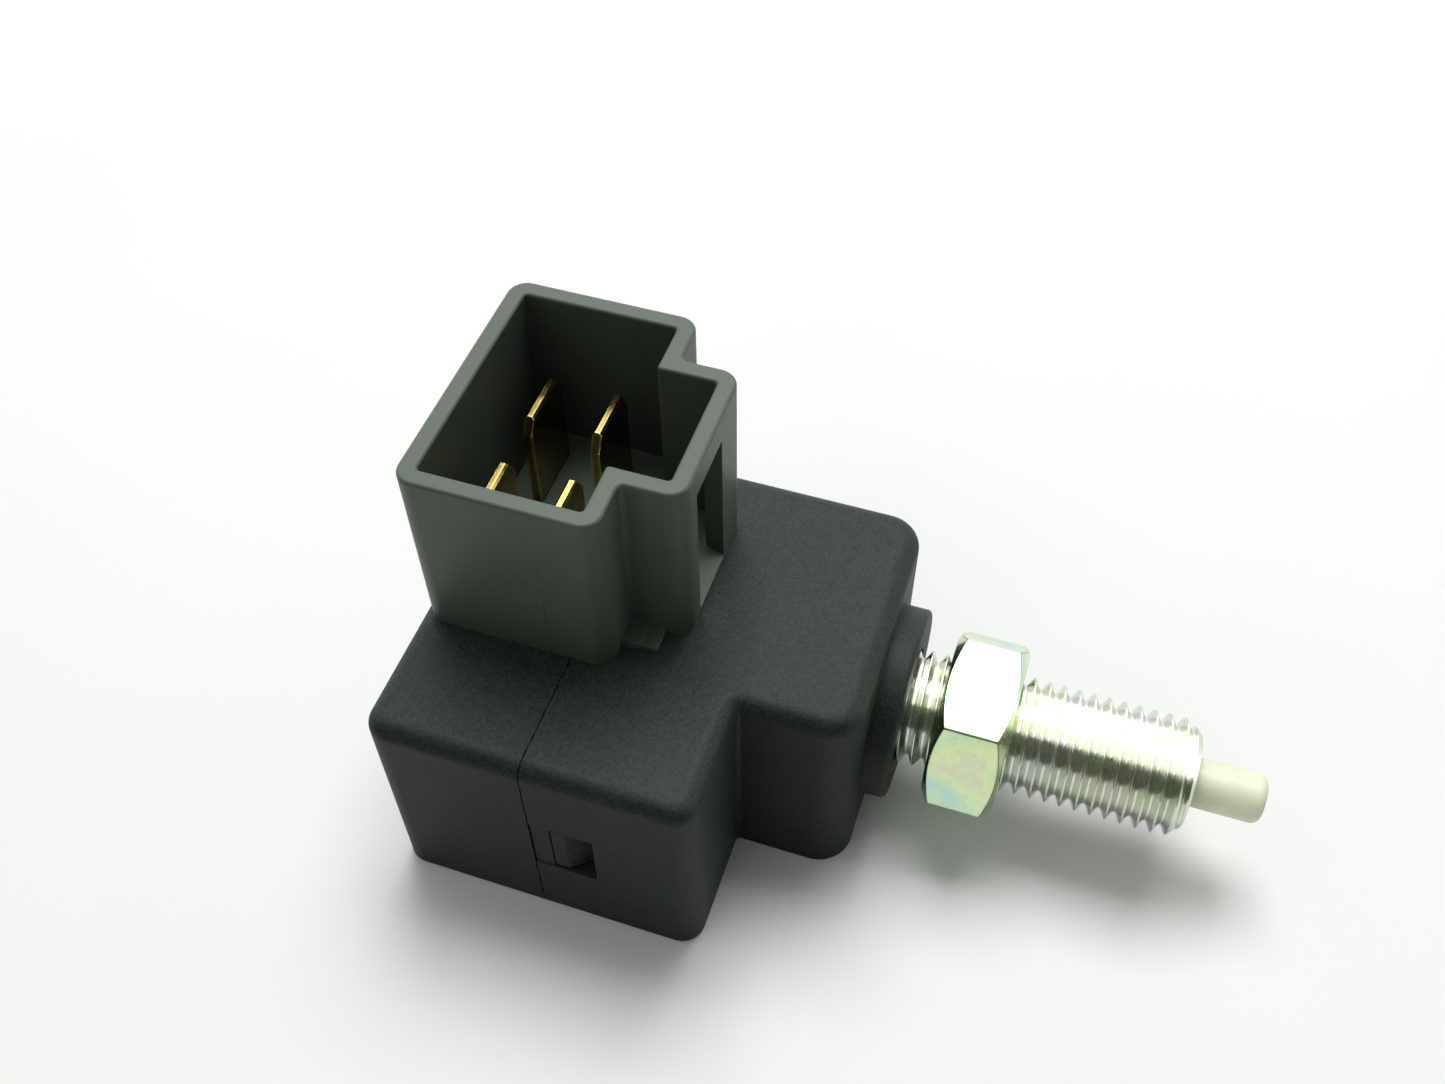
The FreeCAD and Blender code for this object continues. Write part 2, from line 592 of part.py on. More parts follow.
def make_blade(x, y):
    """Upright blade with both side corners tapered and the tip's edges coined."""
    tip = RIM_Z - BLADE_BELOW_RIM
    half, tip_half = BLADE_W / 2, BLADE_TIP_W / 2
    foot = LEG_TOP_Z - BLADE_T
    outline = [V(x, y - half, foot), V(x, y - half, tip - BLADE_TIP_TAPER), V(x, y - tip_half, tip),
               V(x, y + tip_half, tip), V(x, y + half, tip - BLADE_TIP_TAPER), V(x, y + half, foot),
               V(x, y - half, foot)]
    blade = Part.Face(Part.makePolygon(outline)).extrude(V(BLADE_T, 0, 0))
    long_edges = [edge for edge in edges_at_height(blade, tip) if edge.BoundBox.YLength > BLADE_T]
    return blade.makeChamfer(BLADE_TIP_EDGE, long_edges)


def make_terminal(blade_x, leg_x, side):
    """Blade, the shelf under the flange where the leg stands forward of it, and the pierced leg."""
    y = side * BLADE_SIDE
    y0, y1 = sorted((side * LEG_INNER, side * (LEG_INNER + LEG_W)))
    shelf_z = LEG_TOP_Z - BLADE_T
    leg = block(leg_x, leg_x + BLADE_T, y0, y1, -LEG_END, LEG_TOP_Z)
    pieces = [leg]
    if leg_x > blade_x + BLADE_T:
        pieces.append(block(blade_x, leg_x + BLADE_T, y0, y1, shelf_z, LEG_TOP_Z))
    body = make_blade(blade_x, y).fuse(pieces).removeSplitter()
    if leg_x > blade_x + BLADE_T:
        outer, inner = V(leg_x + BLADE_T, 0, LEG_TOP_Z), V(leg_x, 0, shelf_z)
        body = round_bend(body, outer, BEND_R + BLADE_T)
        body = round_bend(body, inner, BEND_R)
    return body.cut(rod(CONTACT_SHANK_D / 2, leg_x - BLADE_T, leg_x + 2 * BLADE_T, side * CONTACT_SIDE))


def round_bend(shape, corner, radius):
    """Fillet the edge along Y that passes through a corner given in X and Z."""
    def matches(edge):
        box = edge.BoundBox
        flat = max(box.XLength, box.ZLength) < 1e-4
        return flat and abs(box.XMin - corner.x) < 1e-4 and abs(box.ZMin - corner.z) < 1e-4
    return shape.makeFillet(radius, [edge for edge in shape.Edges if matches(edge)])


def build():
    """Make every piece of the switch under the name of its node."""
    PARTS["front_housing"] = make_front_housing()
    PARTS["rear_cover"] = make_rear_cover()
    PARTS["connector_shroud"] = make_connector_shroud()
    PARTS["threaded_sleeve"] = make_threaded_sleeve()
    PARTS["lock_nut"] = make_lock_nut()
    PARTS["plunger"] = make_plunger()
    PARTS["contact_carrier"] = make_contact_carrier()
    PARTS["retaining_clip"] = make_retaining_clip()
    PARTS["return_spring"] = make_return_spring()
    PARTS["stop_bridge"] = make_bridge(STOP_BRIDGE_X)
    PARTS["cruise_bridge"] = make_bridge(CRUISE_BRIDGE_X)
    PARTS["stop_bridge_spring"] = contact_spring(SHOULDER_FRONT_X, STOP_BRIDGE_X - BRIDGE_T)
    PARTS["cruise_bridge_spring"] = contact_spring(CRUISE_BRIDGE_X, SHOULDER_REAR_X)
    for name, side in (("front", -1), ("back", 1)):
        y = side * CONTACT_SIDE
        PARTS["stop_terminal_" + name] = make_terminal(STOP_ROW_X, STOP_LEG_X, side)
        PARTS["cruise_terminal_" + name] = make_terminal(CRUISE_ROW_X, CRUISE_ROW_X, side)
        PARTS["stop_fixed_contact_" + name] = contact_rivet(STOP_LEG_X, BLADE_T, -1, y)
        PARTS["cruise_fixed_contact_" + name] = contact_rivet(CRUISE_LEG_X, BLADE_T, 1, y)
        PARTS["stop_moving_contact_" + name] = contact_rivet(STOP_BRIDGE_X, BRIDGE_T, 1, y)
        PARTS["cruise_moving_contact_" + name] = contact_rivet(CRUISE_BRIDGE_X - BRIDGE_T, BRIDGE_T, -1, y)


def export():
    """Write one STEP file for each piece and print its volume."""
    os.makedirs("parts", exist_ok=True)
    for name, shape in PARTS.items():
        solids = shape.Solids
        if len(solids) != 1 or not shape.isValid():
            print("check", name, "solids", len(solids), "valid", shape.isValid())
        solids[0].exportStep("parts/" + name + ".step")
        print("%-28s %9.2f mm3" % (name, solids[0].Volume))


build()
export()
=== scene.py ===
"""Looks of the brake light switch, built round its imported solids.

Objects are in metres in the solids' own frame: the origin is on the sleeve's axis in the collar's outer
face, +X runs to the plunger's tip and +Z up to the connector. Meshes are modelled in millimetres and
scaled once, when they become pieces.
"""
import logging
import math
from abc import ABC, abstractmethod
from dataclasses import dataclass
from enum import Enum
from functools import cache
from typing import Optional, Sequence

import bmesh
import bpy
from mathutils import Matrix, Vector, noise


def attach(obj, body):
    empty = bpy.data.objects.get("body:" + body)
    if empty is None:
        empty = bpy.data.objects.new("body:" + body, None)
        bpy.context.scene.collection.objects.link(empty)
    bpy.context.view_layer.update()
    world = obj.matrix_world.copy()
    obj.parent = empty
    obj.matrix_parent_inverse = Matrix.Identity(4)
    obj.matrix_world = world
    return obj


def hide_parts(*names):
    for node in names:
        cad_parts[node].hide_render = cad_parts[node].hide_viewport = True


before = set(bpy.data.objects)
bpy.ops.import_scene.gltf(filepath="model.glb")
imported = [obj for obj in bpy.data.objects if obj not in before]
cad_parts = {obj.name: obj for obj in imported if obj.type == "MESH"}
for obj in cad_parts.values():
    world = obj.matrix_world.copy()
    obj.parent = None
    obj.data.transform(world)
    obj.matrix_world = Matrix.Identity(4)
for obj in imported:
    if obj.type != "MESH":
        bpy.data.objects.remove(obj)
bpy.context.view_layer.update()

MM = 0.001
WELD_MM = 0.002
CUT_MM = 1e-5
ROUND_FACETS = 72
HEX_SIDES = 6
BACKDROP = "#F2F4F1"
# Input ranges of Map Range nodes: a noise texture has nearly all of its values within the first.
NOISE_SPAN = {"From Min": 0.3, "From Max": 0.7}
GRAIN_SPAN = {"From Min": 0.25, "From Max": 0.75}
STAIN_SPAN = {"From Min": 0.3, "From Max": 0.8}
# Scale of a wave texture whose waves are one unit long.
ONE_WAVE = math.tau / 20
LOG = logging.getLogger("brake_light_switch")
Colour = tuple[float, float, float, float]


class Body(Enum):
    """Bodies of the part that new pieces ride on."""

    HOUSING = "housing"
    LOCK_NUT = "lock_nut_group"


class Slot(Enum):
    """Material slots of the record."""

    BLACK_HOUSING = "black_housing"
    GREY_CONNECTOR = "grey_connector"
    ZINC_STEEL = "zinc_steel"


class Cut(Enum):
    """Ways to combine two solids."""

    KEEP_COMMON = "INTERSECT"
    TAKE_AWAY = "DIFFERENCE"


def linear(hex_colour: str) -> Colour:
    """Turn an sRGB hex colour into linear red, green, blue and alpha.

    Args:
        hex_colour: Colour such as "#A0B0C0".

    Returns:
        The linear colour with an alpha of 1.
    """
    channels = [int(hex_colour[start:start + 2], 16) / 255 for start in (1, 3, 5)]
    shares = [c / 12.92 if c <= 0.04045 else ((c + 0.055) / 1.055) ** 2.4 for c in channels]
    return (shares[0], shares[1], shares[2], 1.0)


def per_metre(size_mm: float) -> float:
    """Texture scale at which one pattern cell is this many millimetres wide."""
    return 1 / (size_mm * MM)


def add_node(tree: bpy.types.NodeTree, kind: str, inputs: Optional[dict] = None,
             stops: Sequence[tuple[float, Colour]] = (), **settings: object) -> bpy.types.Node:
    """Add a node with its settings and links.

    Args:
        tree: Node tree of a material, light or world.
        kind: Blender's type name of the node.
        inputs: A value, or the output socket to link, for each input by name or number.
        stops: Positions and colours, for a node that has a colour ramp.
        **settings: Properties of the node itself.

    Returns:
        The new node.
    """
    node = tree.nodes.new(kind)
    for name, value in settings.items():
        setattr(node, name, value)
    for key, value in (inputs or {}).items():
        if isinstance(value, bpy.types.NodeSocket):
            tree.links.new(value, node.inputs[key])
        else:
            node.inputs[key].default_value = value
    if stops:
        ramp = node.color_ramp
        while len(ramp.elements) < len(stops):
            ramp.elements.new(0.5)
        for element, (position, colour) in zip(ramp.elements, stops):
            element.position = position
            element.color = colour
    return node


@dataclass(frozen=True)
class Finish(ABC):
    """A surface finish: what the material is and how its surface was made."""

    name: str

    @abstractmethod
    def shade(self, tree: bpy.types.NodeTree, surface: bpy.types.Node) -> None:
        """Add this finish's nodes.

        Args:
            tree: The material's node tree.
            surface: The tree's principled shader.
        """

    @cache
    def material(self) -> bpy.types.Material:
        """Give the material of this finish, made the first time it is asked for.

        Returns:
            The material, which all pieces of this finish share.
        """
        made = bpy.data.materials.new(self.name)
        made.use_nodes = True
        tree = made.node_tree
        tree.nodes.clear()
        surface = add_node(tree, "ShaderNodeBsdfPrincipled")
        add_node(tree, "ShaderNodeOutputMaterial", {"Surface": surface.outputs["BSDF"]})
        self.shade(tree, surface)
        return made

    def dress(self, piece: bpy.types.Object) -> None:
        """Give every face of a piece this finish.

        Args:
            piece: A new piece or a node of the part.
        """
        material = self.material()
        if not piece.data.materials:
            piece.data.materials.append(material)
        for slot in piece.material_slots:
            slot.material = material


def edge_share(tree: bpy.types.NodeTree, radius_mm: float, flat: float, bent: float,
               most: float) -> tuple[bpy.types.NodeSocket, bpy.types.NodeSocket]:
    """Round the edges for the eye, and tell how near a point is to one.

    Args:
        tree: The material's node tree.
        radius_mm: Radius over which edges look rounded.
        flat: Cosine of the bend where an edge begins.
        bent: Cosine of the bend at its middle.
        most: Share given at its middle.

    Returns:
        The rounded normal, and the share: 0 on open faces, rising to the most at an edge.
    """
    soft = add_node(tree, "ShaderNodeBevel", {"Radius": radius_mm * MM}, samples=6)
    facing = add_node(tree, "ShaderNodeNewGeometry").outputs["Normal"]
    bend = add_node(tree, "ShaderNodeVectorMath", {0: soft.outputs["Normal"], 1: facing},
                    operation="DOT_PRODUCT")
    share = add_node(tree, "ShaderNodeMapRange",
                     {"Value": bend.outputs["Value"], "From Min": flat, "From Max": bent,
                      "To Min": 0.0, "To Max": most})
    return soft.outputs["Normal"], share.outputs["Result"]


@dataclass(frozen=True)
class MouldedPlastic(Finish):
    """Injection moulded plastic with the grain of an etched tool and a painted highlight along its edges.

    Attributes:
        colour: sRGB hex of the plastic.
        painted_edge_colour: sRGB hex of the painted highlight along its edges.
        roughness: Mean roughness.
        ior: Index of refraction.
        grain_mm: Width of one grain of the etched tool.
        grain_depth_mm: Depth of the grain.
        flow_mm: Width of the slow change of tone where the melt flowed.
        flow_change: How much that tone changes, as a share.
        edge_mm: Radius over which edges look soft, and over which the painted highlight spreads.
        gloss: Level of the surface's reflection, 0.5 for a clean skin and less for one that scatters it.
        speck: How much paler or darker one grain is than the next, as a share.
    """

    colour: str
    painted_edge_colour: str
    roughness: float
    ior: float
    grain_mm: float
    grain_depth_mm: float
    flow_mm: float
    flow_change: float
    edge_mm: float
    gloss: float
    speck: float

    def shade(self, tree: bpy.types.NodeTree, surface: bpy.types.Node) -> None:
        """Add grain, flow, sheen, soft edges and a painted highlight along them.

        Args:
            tree: The material's node tree.
            surface: The tree's principled shader.
        """
        place = add_node(tree, "ShaderNodeTexCoord").outputs["Object"]
        soft, edge = edge_share(tree, self.edge_mm, flat=0.99, bent=0.80, most=0.75)
        flow = add_node(tree, "ShaderNodeTexNoise",
                        {"Vector": place, "Scale": per_metre(self.flow_mm), "Detail": 3.0})
        tone = add_node(tree, "ShaderNodeMapRange",
                        {"Value": flow.outputs["Fac"], **NOISE_SPAN,
                         "To Min": 1 - self.flow_change, "To Max": 1 + self.flow_change})
        grain = add_node(tree, "ShaderNodeTexNoise",
                         {"Vector": place, "Scale": per_metre(self.grain_mm), "Detail": 2.0,
                          "Roughness": 0.6})
        fleck = add_node(tree, "ShaderNodeMapRange",
                         {"Value": grain.outputs["Fac"], **GRAIN_SPAN,
                          "To Min": 1 - self.speck, "To Max": 1 + self.speck})
        level = add_node(tree, "ShaderNodeMath",
                         {0: tone.outputs["Result"], 1: fleck.outputs["Result"]},
                         operation="MULTIPLY")
        toned = add_node(tree, "ShaderNodeVectorMath",
                         {0: linear(self.colour)[:3], "Scale": level.outputs["Value"]},
                         operation="SCALE")
        # Painted highlight: edges are mixed towards a paler colour.
        mixed = add_node(tree, "ShaderNodeMix",
                         {"Factor": edge, "A": toned.outputs["Vector"],
                          "B": linear(self.painted_edge_colour)}, data_type="RGBA")
        tree.links.new(mixed.outputs["Result"], surface.inputs["Base Color"])
        swing = 0.06
        rough = add_node(tree, "ShaderNodeMapRange",
                         {"Value": grain.outputs["Fac"], **GRAIN_SPAN,
                          "To Min": self.roughness - swing, "To Max": self.roughness + swing})
        tree.links.new(rough.outputs["Result"], surface.inputs["Roughness"])
        bump = add_node(tree, "ShaderNodeBump",
                        {"Strength": 1.0, "Distance": self.grain_depth_mm * MM,
                         "Height": grain.outputs["Fac"], "Normal": soft})
        tree.links.new(bump.outputs["Normal"], surface.inputs["Normal"])
        surface.inputs["IOR"].default_value = self.ior
        sheen = add_node(tree, "ShaderNodeMath", {0: fleck.outputs["Result"], 1: self.gloss},
                         operation="MULTIPLY")
        tree.links.new(sheen.outputs["Value"], surface.inputs["Specular IOR Level"])


@dataclass(frozen=True)
class SplitMoulding(MouldedPlastic):
    """Moulded plastic of two mouldings that meet on a plane, with the dark gap between their edges.

    Attributes:
        split_x: X of the plane where the two mouldings meet.
        gap_mm: Width of the gap between their rounded edges.
        gap_colour: sRGB hex of what shows in the gap.
        gap_cover: Share of the plastic's own colour that the gap hides at its middle.
        waver_mm: Length over which the gap wavers.
        waver_share: How far it wavers, as a share of its width.
    """

    split_x: float
    gap_mm: float
    gap_colour: str = "#050606"
    gap_cover: float = 0.9
    waver_mm: float = 1.6
    waver_share: float = 0.4

    def shade(self, tree: bpy.types.NodeTree, surface: bpy.types.Node) -> None:
        """Add the plain moulding's look, then the gap.

        Args:
            tree: The material's node tree.
            surface: The tree's principled shader.
        """
        super().shade(tree, surface)
        place = add_node(tree, "ShaderNodeTexCoord").outputs["Object"]
        parts = add_node(tree, "ShaderNodeSeparateXYZ", {"Vector": place})
        waver = add_node(tree, "ShaderNodeTexNoise",
                         {"Vector": place, "Scale": per_metre(self.waver_mm), "Detail": 3.0})
        drift = add_node(tree, "ShaderNodeMapRange",
                         {"Value": waver.outputs["Fac"], **NOISE_SPAN,
                          "To Min": (self.split_x - self.waver_share * self.gap_mm) * MM,
                          "To Max": (self.split_x + self.waver_share * self.gap_mm) * MM})
        aside = add_node(tree, "ShaderNodeMath",
                         {0: parts.outputs["X"], 1: drift.outputs["Result"]}, operation="SUBTRACT")
        away = add_node(tree, "ShaderNodeMath", {0: aside.outputs["Value"]}, operation="ABSOLUTE")
        gap = add_node(tree, "ShaderNodeMapRange",
                       {"Value": away.outputs["Value"], "From Min": 0.5 * self.gap_mm * MM,
                        "From Max": 0.25 * self.gap_mm * MM, "To Min": 0.0,
                        "To Max": self.gap_cover})
        clean = surface.inputs["Base Color"].links[0].from_socket
        mixed = add_node(tree, "ShaderNodeMix",
                         {"Factor": gap.outputs["Result"], "A": clean,
                          "B": linear(self.gap_colour)}, data_type="RGBA")
        tree.links.new(mixed.outputs["Result"], surface.inputs["Base Color"])
        skin = add_node(tree, "ShaderNodeMath", {0: 1.0, 1: gap.outputs["Result"]},
                        operation="SUBTRACT")
        sheen = surface.inputs["Specular IOR Level"].links[0].from_socket
        shine = add_node(tree, "ShaderNodeMath", {0: sheen, 1: skin.outputs["Value"]},
                         operation="MULTIPLY")
        tree.links.new(shine.outputs["Value"], surface.inputs["Specular IOR Level"])


@dataclass(frozen=True)
class NaturalNylon(Finish):
    """Uncoloured nylon, turned or moulded: milky, lets a little light in, with faint turning rings.

    Attributes:
        colour: sRGB hex of the surface.
        depth_mm: How far light travels inside it.
        roughness: Roughness of the skin.
        ring_mm: Spacing of the faint rings.
        edge_mm: Radius over which edges look soft.
        ring_depth_mm: Depth of the rings.
        cloud_mm: Width of the cloudiness.
        milk: Share of the light that goes into the body.
        reach: How far red, green and blue go into it, as shares.
        ior: Index of refraction.
    """

    colour: str
    depth_mm: float
    roughness: float
    ring_mm: float
    edge_mm: float
    ring_depth_mm: float = 0.002
    cloud_mm: float = 2.5
    milk: float = 0.35
    reach: tuple[float, float, float] = (1.0, 1.0, 0.6)
    ior: float = 1.53

    def shade(self, tree: bpy.types.NodeTree, surface: bpy.types.Node) -> None:
        """Add the milky body, cloudiness and rings.

        Args:
            tree: The material's node tree.
            surface: The tree's principled shader.
        """
        place = add_node(tree, "ShaderNodeTexCoord").outputs["Object"]
        cloud = add_node(tree, "ShaderNodeTexNoise",
                         {"Vector": place, "Scale": per_metre(self.cloud_mm), "Detail": 2.0})
        body = add_node(tree, "ShaderNodeMapRange",
                        {"Value": cloud.outputs["Fac"], **NOISE_SPAN, "To Min": 0.94,
                         "To Max": 1.04})
        toned = add_node(tree, "ShaderNodeVectorMath",
                         {0: linear(self.colour)[:3], "Scale": body.outputs["Result"]},
                         operation="SCALE")
        tree.links.new(toned.outputs["Vector"], surface.inputs["Base Color"])
        soft = add_node(tree, "ShaderNodeBevel", {"Radius": self.edge_mm * MM}, samples=4)
        ring = add_node(tree, "ShaderNodeTexWave",
                        {"Vector": place, "Scale": per_metre(self.ring_mm) * ONE_WAVE,
                         "Distortion": 1.5, "Detail": 2.0}, bands_direction="X")
        bump = add_node(tree, "ShaderNodeBump",
                        {"Strength": 1.0, "Distance": self.ring_depth_mm * MM,
                         "Height": ring.outputs["Fac"], "Normal": soft.outputs["Normal"]})
        tree.links.new(bump.outputs["Normal"], surface.inputs["Normal"])
        surface.inputs["Roughness"].default_value = self.roughness
        surface.inputs["IOR"].default_value = self.ior
        surface.inputs["Subsurface Weight"].default_value = self.milk
        surface.inputs["Subsurface Radius"].default_value = self.reach
        surface.inputs["Subsurface Scale"].default_value = self.depth_mm * MM


@dataclass(frozen=True)
class ZincPlate(Finish):
    """Bright zinc plate under a clear passivate, whose thin film tints the metal green, pink and blue.

    Attributes:
        tints: sRGB hex tints that drift over the surface.
        painted_edge_colour: sRGB hex of the thin line painted along edges as painted shade, darker than the
            plate.
        patch_mm: Width of one patch of tint.
        roughness: Mean roughness.
        line_mm: Spacing of the drawing or rolling lines that run along X.
        line_depth_mm: Depth of those lines.
        edge_mm: Radius over which edges look soft, and the width of the painted shade along them.
        stain_mm: Width of one small stain.
        line_run: Stretch of the lines along X, Y and Z; a small number runs along that axis.
        smoother: How much smoother than the mean the clean plate is.
        rougher: How much rougher than the mean a stain is.
    """

    tints: tuple[str, ...]
    painted_edge_colour: str
    patch_mm: float
    roughness: float
    line_mm: float
    line_depth_mm: float
    edge_mm: float
    stain_mm: float = 0.7
    line_run: tuple[float, float, float] = (0.03, 1.0, 1.0)
    smoother: float = 0.05
    rougher: float = 0.12

    def shade(self, tree: bpy.types.NodeTree, surface: bpy.types.Node) -> None:
        """Add drifting tints, fine lines, small stains and a thin line of painted shade along edges.

        Args:
            tree: The material's node tree.
            surface: The tree's principled shader.
        """
        place = add_node(tree, "ShaderNodeTexCoord").outputs["Object"]
        drift = add_node(tree, "ShaderNodeTexNoise",
                         {"Vector": place, "Scale": per_metre(self.patch_mm), "Detail": 2.0,
                          "Distortion": 0.6})
        low, width = 0.30, 0.40
        last = len(self.tints) - 1
        spread = [(low + width * index / last, linear(tint))
                  for index, tint in enumerate(self.tints)]
        tint = add_node(tree, "ShaderNodeValToRGB", {"Fac": drift.outputs["Fac"]}, stops=spread)
        stain = add_node(tree, "ShaderNodeTexNoise",
                         {"Vector": place, "Scale": per_metre(self.stain_mm), "Detail": 4.0,
                          "Roughness": 0.7})
        dull = add_node(tree, "ShaderNodeMapRange",
                        {"Value": stain.outputs["Fac"], "From Min": 0.55, "From Max": 0.80,
                         "To Min": 1.0, "To Max": 0.86})
        colour = add_node(tree, "ShaderNodeVectorMath",
                          {0: tint.outputs["Color"], "Scale": dull.outputs["Result"]},
                          operation="SCALE")
        soft, edge = edge_share(tree, self.edge_mm, flat=0.996, bent=0.965, most=1.0)
        # Painted shade: edges are mixed towards a darker colour, as a thin line.
        mixed = add_node(tree, "ShaderNodeMix",
                         {"Factor": edge, "A": colour.outputs["Vector"],
                          "B": linear(self.painted_edge_colour)}, data_type="RGBA")
        tree.links.new(mixed.outputs["Result"], surface.inputs["Base Color"])
        rough = add_node(tree, "ShaderNodeMapRange",
                         {"Value": stain.outputs["Fac"], **STAIN_SPAN,
                          "To Min": self.roughness - self.smoother,
                          "To Max": self.roughness + self.rougher})
        tree.links.new(rough.outputs["Result"], surface.inputs["Roughness"])
        along = add_node(tree, "ShaderNodeMapping", {"Vector": place, "Scale": self.line_run})
        line = add_node(tree, "ShaderNodeTexNoise",
                        {"Vector": along.outputs["Vector"], "Scale": per_metre(self.line_mm),
                         "Detail": 3.0})
        bump = add_node(tree, "ShaderNodeBump",
                        {"Strength": 1.0, "Distance": self.line_depth_mm * MM,
                         "Height": line.outputs["Fac"], "Normal": soft})
        tree.links.new(bump.outputs["Normal"], surface.inputs["Normal"])
        surface.inputs["Metallic"].default_value = 1.0


@dataclass(frozen=True)
class StripMetal(Finish):
    """Metal strip or wire, bare after rolling and stamping: fine streaks along one axis, dull patches, and a
    painted highlight along its edges.

    Attributes:
        colour: sRGB hex of the clean metal.
        dull_colour: sRGB hex of the tarnished metal.
        edge_highlight_colour: sRGB hex of the painted highlight along its edges.
        roughness: Mean roughness.
        streak: Stretch of the streaks along X, Y and Z; a small number runs along that axis.
        streak_mm: Spacing of the streaks.
        edge_mm: Radius over which edges look soft.
        streak_depth_mm: Depth of the streaks.
        patch_mm: Width of one patch of tarnish.
        edge_highlight_mm: How far from an edge the painted highlight reaches.
        smoother: How much smoother than the mean the clean metal is.
        rougher: How much rougher than the mean the tarnish is.
    """

    colour: str
    dull_colour: str
    edge_highlight_colour: str
    roughness: float
    streak: tuple[float, float, float]
    streak_mm: float
    edge_mm: float
    streak_depth_mm: float = 0.004
    patch_mm: float = 1.8
    edge_highlight_mm: float = 0.45
    smoother: float = 0.06
    rougher: float = 0.12

    def shade(self, tree: bpy.types.NodeTree, surface: bpy.types.Node) -> None:
        """Add streaks, tarnish, soft edges and a painted highlight along them.

        Args:
            tree: The material's node tree.
            surface: The tree's principled shader.
        """
        place = add_node(tree, "ShaderNodeTexCoord").outputs["Object"]
        patch = add_node(tree, "ShaderNodeTexNoise",
                         {"Vector": place, "Scale": per_metre(self.patch_mm), "Detail": 4.0,
                          "Roughness": 0.6})
        tarnish = add_node(tree, "ShaderNodeMapRange",
                           {"Value": patch.outputs["Fac"], "From Min": 0.45, "From Max": 0.75})
        mixed = add_node(tree, "ShaderNodeMix",
                         {"Factor": tarnish.outputs["Result"], "A": linear(self.colour),
                          "B": linear(self.dull_colour)}, data_type="RGBA")
        # Painted highlight: edges are mixed towards a paler colour.
        highlight_share = edge_share(tree, self.edge_highlight_mm, flat=0.98, bent=0.85, most=1.0)[1]
        highlit = add_node(tree, "ShaderNodeMix",
                         {"Factor": highlight_share, "A": mixed.outputs["Result"],
                          "B": linear(self.edge_highlight_colour)}, data_type="RGBA")
        tree.links.new(highlit.outputs["Result"], surface.inputs["Base Color"])
        rough = add_node(tree, "ShaderNodeMapRange",
                         {"Value": patch.outputs["Fac"], **STAIN_SPAN,
                          "To Min": self.roughness - self.smoother,
                          "To Max": self.roughness + self.rougher})
        tree.links.new(rough.outputs["Result"], surface.inputs["Roughness"])
        along = add_node(tree, "ShaderNodeMapping", {"Vector": place, "Scale": self.streak})
        line = add_node(tree, "ShaderNodeTexNoise",
                        {"Vector": along.outputs["Vector"], "Scale": per_metre(self.streak_mm),
                         "Detail": 3.0})
        soft = add_node(tree, "ShaderNodeBevel", {"Radius": self.edge_mm * MM}, samples=4)
        bump = add_node(tree, "ShaderNodeBump",
                        {"Strength": 1.0, "Distance": self.streak_depth_mm * MM,
                         "Height": line.outputs["Fac"], "Normal": soft.outputs["Normal"]})
        tree.links.new(bump.outputs["Normal"], surface.inputs["Normal"])
        surface.inputs["Metallic"].default_value = 1.0


@dataclass(frozen=True)
class TableTop(Finish):
    """Pale matt laminate that the switch lies on, with faint clouding.

    Attributes:
        colour: sRGB hex of the laminate.
        roughness: Roughness of the laminate.
        cloud_mm: Width of the clouding.
        fade_from_m: Distance from the part at which the table starts to pass into the backdrop.
        fade_to_m: Distance at which it has the backdrop's colour.
    """

    colour: str
    roughness: float = 0.7
    cloud_mm: float = 60.0
    fade_from_m: float = 0.16
    fade_to_m: float = 0.45

    def shade(self, tree: bpy.types.NodeTree, surface: bpy.types.Node) -> None:
        """Add the clouding, and let the far table pass into the backdrop for the camera alone.

        Args:
            tree: The material's node tree.
            surface: The tree's principled shader.
        """
        place = add_node(tree, "ShaderNodeTexCoord").outputs["Object"]
        cloud = add_node(tree, "ShaderNodeTexNoise",
                         {"Vector": place, "Scale": per_metre(self.cloud_mm), "Detail": 3.0})
        tone = add_node(tree, "ShaderNodeMapRange",
                        {"Value": cloud.outputs["Fac"], **NOISE_SPAN, "To Min": 0.985,
                         "To Max": 1.01})
        reach = add_node(tree, "ShaderNodeVectorMath", {0: place}, operation="LENGTH")
        far = add_node(tree, "ShaderNodeMapRange",
                       {"Value": reach.outputs["Value"], "From Min": self.fade_from_m,
                        "From Max": self.fade_to_m}, interpolation_type="SMOOTHSTEP")
        seen = add_node(tree, "ShaderNodeLightPath").outputs["Is Camera Ray"]
        white = add_node(tree, "ShaderNodeMath", {0: far.outputs["Result"], 1: seen},
                         operation="MULTIPLY")
        near = add_node(tree, "ShaderNodeMath", {0: 1.0, 1: white.outputs["Value"]},
                        operation="SUBTRACT")
        level = add_node(tree, "ShaderNodeMath",
                         {0: tone.outputs["Result"], 1: near.outputs["Value"]},
                         operation="MULTIPLY")
        toned = add_node(tree, "ShaderNodeVectorMath",
                         {0: linear(self.colour)[:3], "Scale": level.outputs["Value"]},
                         operation="SCALE")
        tree.links.new(toned.outputs["Vector"], surface.inputs["Base Color"])
        surface.inputs["Emission Color"].default_value = linear(BACKDROP)
        tree.links.new(white.outputs["Value"], surface.inputs["Emission Strength"])
        surface.inputs["Roughness"].default_value = self.roughness


# Glass filled nylon 66 from an etched tool: matt charcoal, with a painted highlight along its edges. The
# etched grain of about 0.1 mm is drawn 0.22 mm wide, so that it shows.
BLACK_NYLON = SplitMoulding(
    "glass_filled_nylon_etched", colour="#1C2420", painted_edge_colour="#3A423E", roughness=0.52, ior=1.53,
    grain_mm=0.22, grain_depth_mm=0.016, flow_mm=11.0, flow_change=0.12, edge_mm=0.10, gloss=0.13,
    speck=0.38, split_x=-25.45, gap_mm=0.13)
